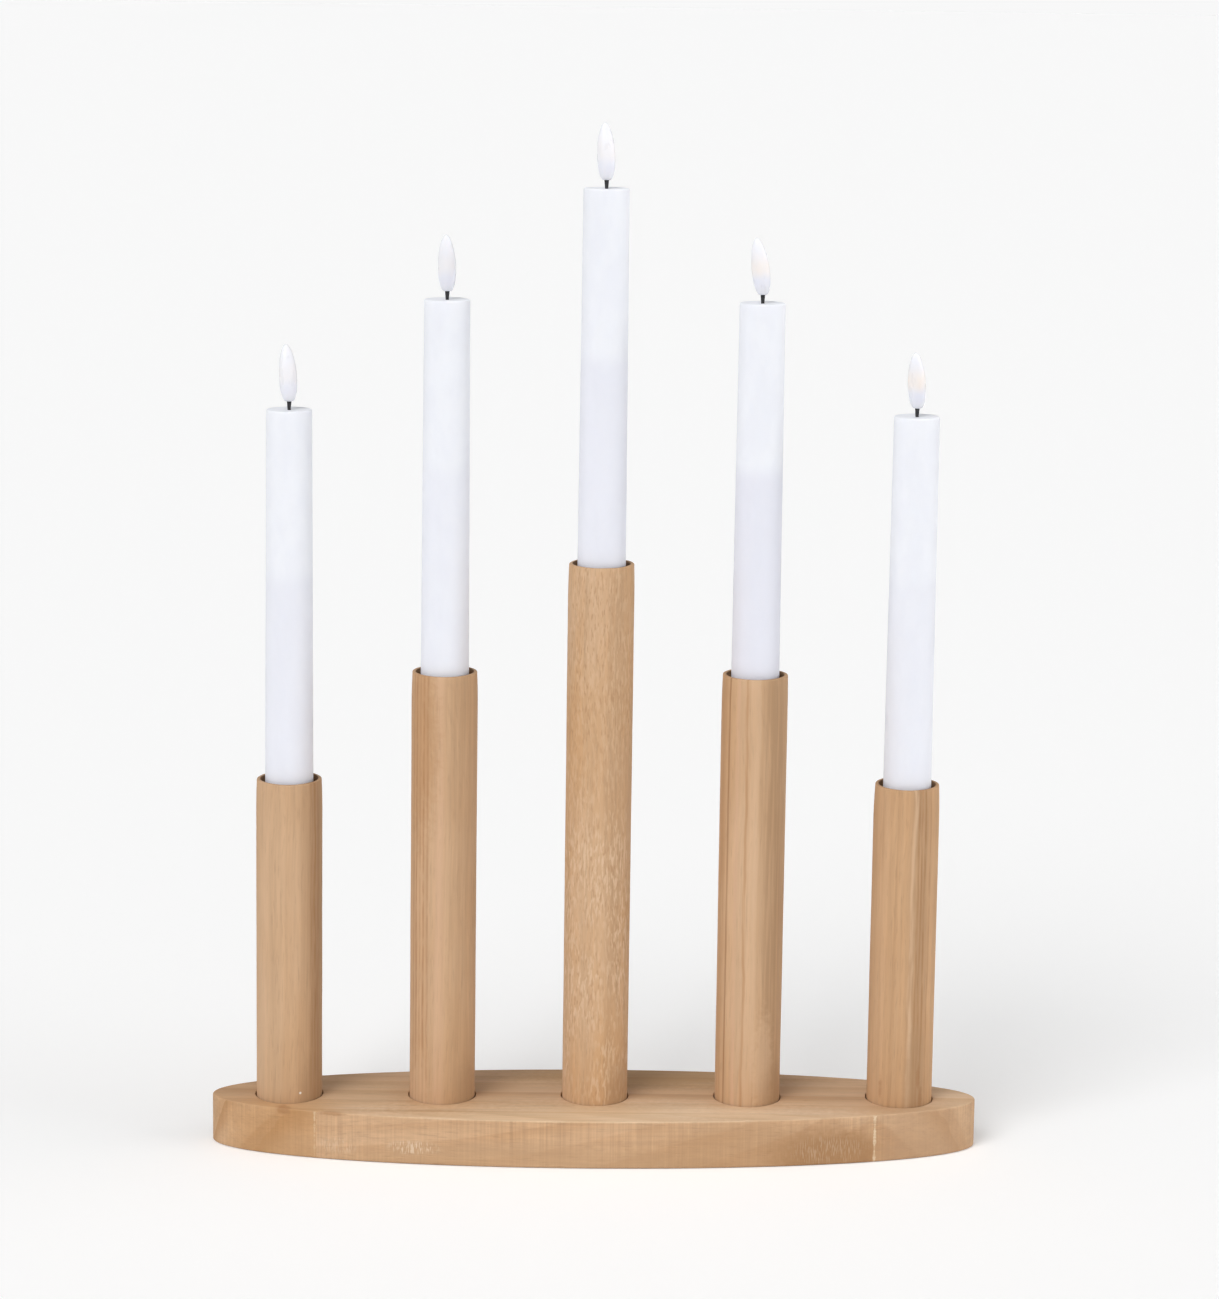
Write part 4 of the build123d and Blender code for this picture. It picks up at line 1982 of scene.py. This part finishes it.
@dataclass
class TubeTimber:
    """The wood of the tube at one place. Each tube comes from another part of the log."""

    place: Place
    orange: Colour = (0.450, 0.232, 0.100)
    dark: Colour = (0.330, 0.160, 0.068)
    # Painted shade: the grey of the tubes' shaded right sides and feet.
    painted_shade_grey: Colour = (0.390, 0.238, 0.128)
    light: Colour = (0.665, 0.455, 0.295)
    red: Colour = (0.390, 0.190, 0.085)
    rose: Colour = (0.640, 0.405, 0.262)
    chalk: Colour = (0.80, 0.76, 0.70)
    axis: PlanPoint = field(init=False)
    foot: float = field(init=False)
    rim: float = field(init=False)

    def __post_init__(self) -> None:
        """Take the tube's place and height from its solid."""
        low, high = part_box(self.place.node("tube"))
        self.axis = ((low.x + high.x) / 2, 0.0)
        self.foot = low.z
        self.rim = high.z

    def stripe(self, angle: float, width: float, colour: Colour, share: float, *habits: float) -> Stripe:
        """A stripe of this tube, whose habits are its wander, its changes and its least strength."""
        return Stripe(self.axis, angle, width, colour, share, *habits)

    def spot(self, right: float, back: float, height: float) -> Point:
        """A point from the tube's axis to the right and to the back, above its foot."""
        return self.axis[0] + right, back, self.foot + height

    def painted_foot_shade(self) -> Stain:
        """Painted shade at the right of the foot, just above the base."""
        return Stain(self.spot(0.0115, -0.0100, 0.014), (0.010, 0.012, 0.024), self.painted_shade_grey, 0.50, 0.2)

    def wood(self, pith: PlanPoint, marks: Sequence[Mark], **looks: float | Colour) -> Wood:
        """The tube's wood, with the marks and the painted shade in its bore.

        Args:
            pith: where the log's middle lies, in metres across the fibres.
            marks: what else lies on its surface.
            looks: the wood's other values, where they aren't the ordinary ones.

        Returns:
            The wood.
        """
        origin = (*self.axis, self.foot)
        return Wood(GrainAxis.ALONG_Z, origin, pith, marks=(*marks, PaintedBoreShade(self.axis)), **looks)

    def left_outer(self) -> Wood:
        """Pale on the left, with broken dark dashes and painted shade on the right and a chalky speck at the
        foot.

        Returns:
            The wood.
        """
        dashes = ((46.0, 0.40), (55.0, 0.62), (64.0, 0.45))
        marks = (
            self.stripe(-50.0, 26.0, self.light, 0.34),
            # Painted shade down the right side.
            self.stripe(62.0, 46.0, self.painted_shade_grey, 0.76),
            *(self.stripe(angle, 5.0, self.dark, share, 5.0, 70.0, 0.0) for angle, share in dashes),
            self.painted_foot_shade(),
            Stain(self.spot(0.006, -0.0138, 0.0165), (0.0007, 0.002, 0.0008), self.chalk, 0.9, 0.2),
        )
        pale, tan = (0.588, 0.386, 0.234), (0.528, 0.328, 0.183)
        return self.wood((0.050, 0.035), marks, ring=0.006, ring_share=0.15, pale=pale, tan=tan)

    def left_inner(self) -> Wood:
        """Rosy in front, with thin red lines on the left.

        Returns:
            The wood.
        """
        high_left = (self.axis[0] - 0.010, -0.010, self.rim - 0.03)
        lines = ((-62.0, 0.50), (-53.0, 0.66), (-44.0, 0.42), (-36.0, 0.62), (-28.0, 0.46))
        marks = (
            self.stripe(-6.0, 14.0, self.rose, 0.50),
            self.stripe(-46.0, 40.0, self.orange, 0.12),
            # Painted shade down the right side.
            self.stripe(32.0, 40.0, self.painted_shade_grey, 0.40),
            Stain(high_left, (0.012, 0.012, 0.06), self.orange, 0.34),
            *(self.stripe(angle, 3.2, self.red, share, 2.0, 130.0, 0.12) for angle, share in lines),
            Stain(self.spot(-0.0105, -0.0105, 0.014), (0.008, 0.010, 0.028), self.light, 0.42, 0.2),
            self.painted_foot_shade(),
        )
        return self.wood((-0.055, -0.020), marks, ring=0.0040, ring_share=0.14)

    def middle(self) -> Wood:
        """Flecked with pale rays, most of all in its lower half.

        Returns:
            The wood.
        """
        marks = (
            # Painted shade down the right side.
            self.stripe(30.0, 24.0, self.painted_shade_grey, 0.34),
            Flecks(self.foot - 0.020, self.foot + 0.20, (0.74, 0.54, 0.365), 0.62),
            Flecks(self.foot + 0.16, self.rim + 0.05, (0.68, 0.47, 0.300), 0.50),
            self.painted_foot_shade(),
        )
        return self.wood((0.010, -0.090), marks, ring=0.0055, ring_share=0.12, tan=(0.572, 0.345, 0.180))

    def right_inner(self) -> Wood:
        """Orange at the left edge behind a dark line, light in front and with painted shade on the right.

        Returns:
            The wood.
        """
        marks = (
            self.stripe(-70.0, 18.0, self.orange, 0.50, 3.0),
            self.stripe(-14.0, 24.0, self.light, 0.40),
            self.stripe(-32.0, 6.0, self.rose, 0.60, 8.0, 34.0, 0.1),
            self.stripe(4.0, 7.0, self.light, 0.40, 9.0, 30.0, 0.1),
            self.stripe(-15.0, 4.0, self.orange, 0.62, 9.0, 26.0, 0.0),
            # Painted shade down the right side.
            self.stripe(38.0, 38.0, self.painted_shade_grey, 0.80),
            Stain(self.spot(0.006, -0.0138, 0.032), (0.007, 0.010, 0.032), self.light, 0.40),
            self.stripe(-51.0, 3.2, self.dark, 0.75, 1.0),
            self.painted_foot_shade(),
        )
        return self.wood((-0.030, -0.030), marks, ring=0.0052, ring_share=0.14)

    def right_outer(self) -> Wood:
        """Darker than the others, with dark lines and painted shade on its right and small knots near the
        foot.

        Returns:
            The wood.
        """
        lines = ((18.0, 0.46), (24.0, 0.52), (31.0, 0.60), (43.0, 0.42))
        knots = ((-0.010, 0.020), (0.007, 0.026), (0.0085, 0.016))
        knot_size = (0.0012, 0.004, 0.0080)
        marks = (
            self.stripe(-52.0, 26.0, self.light, 0.26),
            # Painted shade down the right side.
            self.stripe(21.0, 28.0, self.painted_shade_grey, 0.70),
            self.stripe(9.0, 6.0, self.light, 0.62, 12.0, 40.0, 0.1),
            *(self.stripe(angle, 3.2, self.dark, share, 4.0, 90.0, 0.1) for angle, share in lines),
            # Painted shade at the foot, a little right of the front.
            Stain(self.spot(0.0060, -0.0140, 0.020), (0.0075, 0.010, 0.042), self.painted_shade_grey, 0.45, 0.2),
            *(Stain(self.spot(x, -0.013, z), knot_size, self.dark, 0.5, 0.4) for x, z in knots),
        )
        pale, tan = (0.575, 0.358, 0.200), (0.520, 0.308, 0.162)
        return self.wood((0.045, -0.040), marks, ring=0.0036, ring_share=0.20, pale=pale, tan=tan)

    def build(self) -> Wood:
        """The wood of this place's tube.

        Returns:
            The wood.
        """
        makers = {
            Place.LEFT_OUTER: self.left_outer,
            Place.LEFT_INNER: self.left_inner,
            Place.MIDDLE: self.middle,
            Place.RIGHT_INNER: self.right_inner,
            Place.RIGHT_OUTER: self.right_outer,
        }
        return makers[self.place]()


# How much painted shade of the core darkens each candle's wax.
CORE_SHADE_SHARES = {
    Place.LEFT_OUTER: 0.45,
    Place.LEFT_INNER: 0.30,
    Place.MIDDLE: 0.55,
    Place.RIGHT_INNER: 0.80,
    Place.RIGHT_OUTER: 0.35,
}

GLOWS = {
    Place.LEFT_OUTER: 0.30,
    Place.LEFT_INNER: 0.25,
    Place.MIDDLE: 0.30,
    Place.RIGHT_INNER: 0.75,
    Place.RIGHT_OUTER: 1.0,
}


def main() -> None:
    """Build the holder's looks piece by piece and set up the studio."""
    logging.basicConfig(level=logging.INFO, format="%(name)s: %(message)s")
    base = WoodenBase()
    base.build(BaseTimber(base).build())
    for place in Place:
        WoodenTube(place, TubeTimber(place).build()).build()
        candle = BatteryCandle(place, CORE_SHADE_SHARES[place], GLOWS[place])
        candle.build_wax()
        candle.dress_pieces()
    Studio().build()


if __name__ == "__main__":
    main()
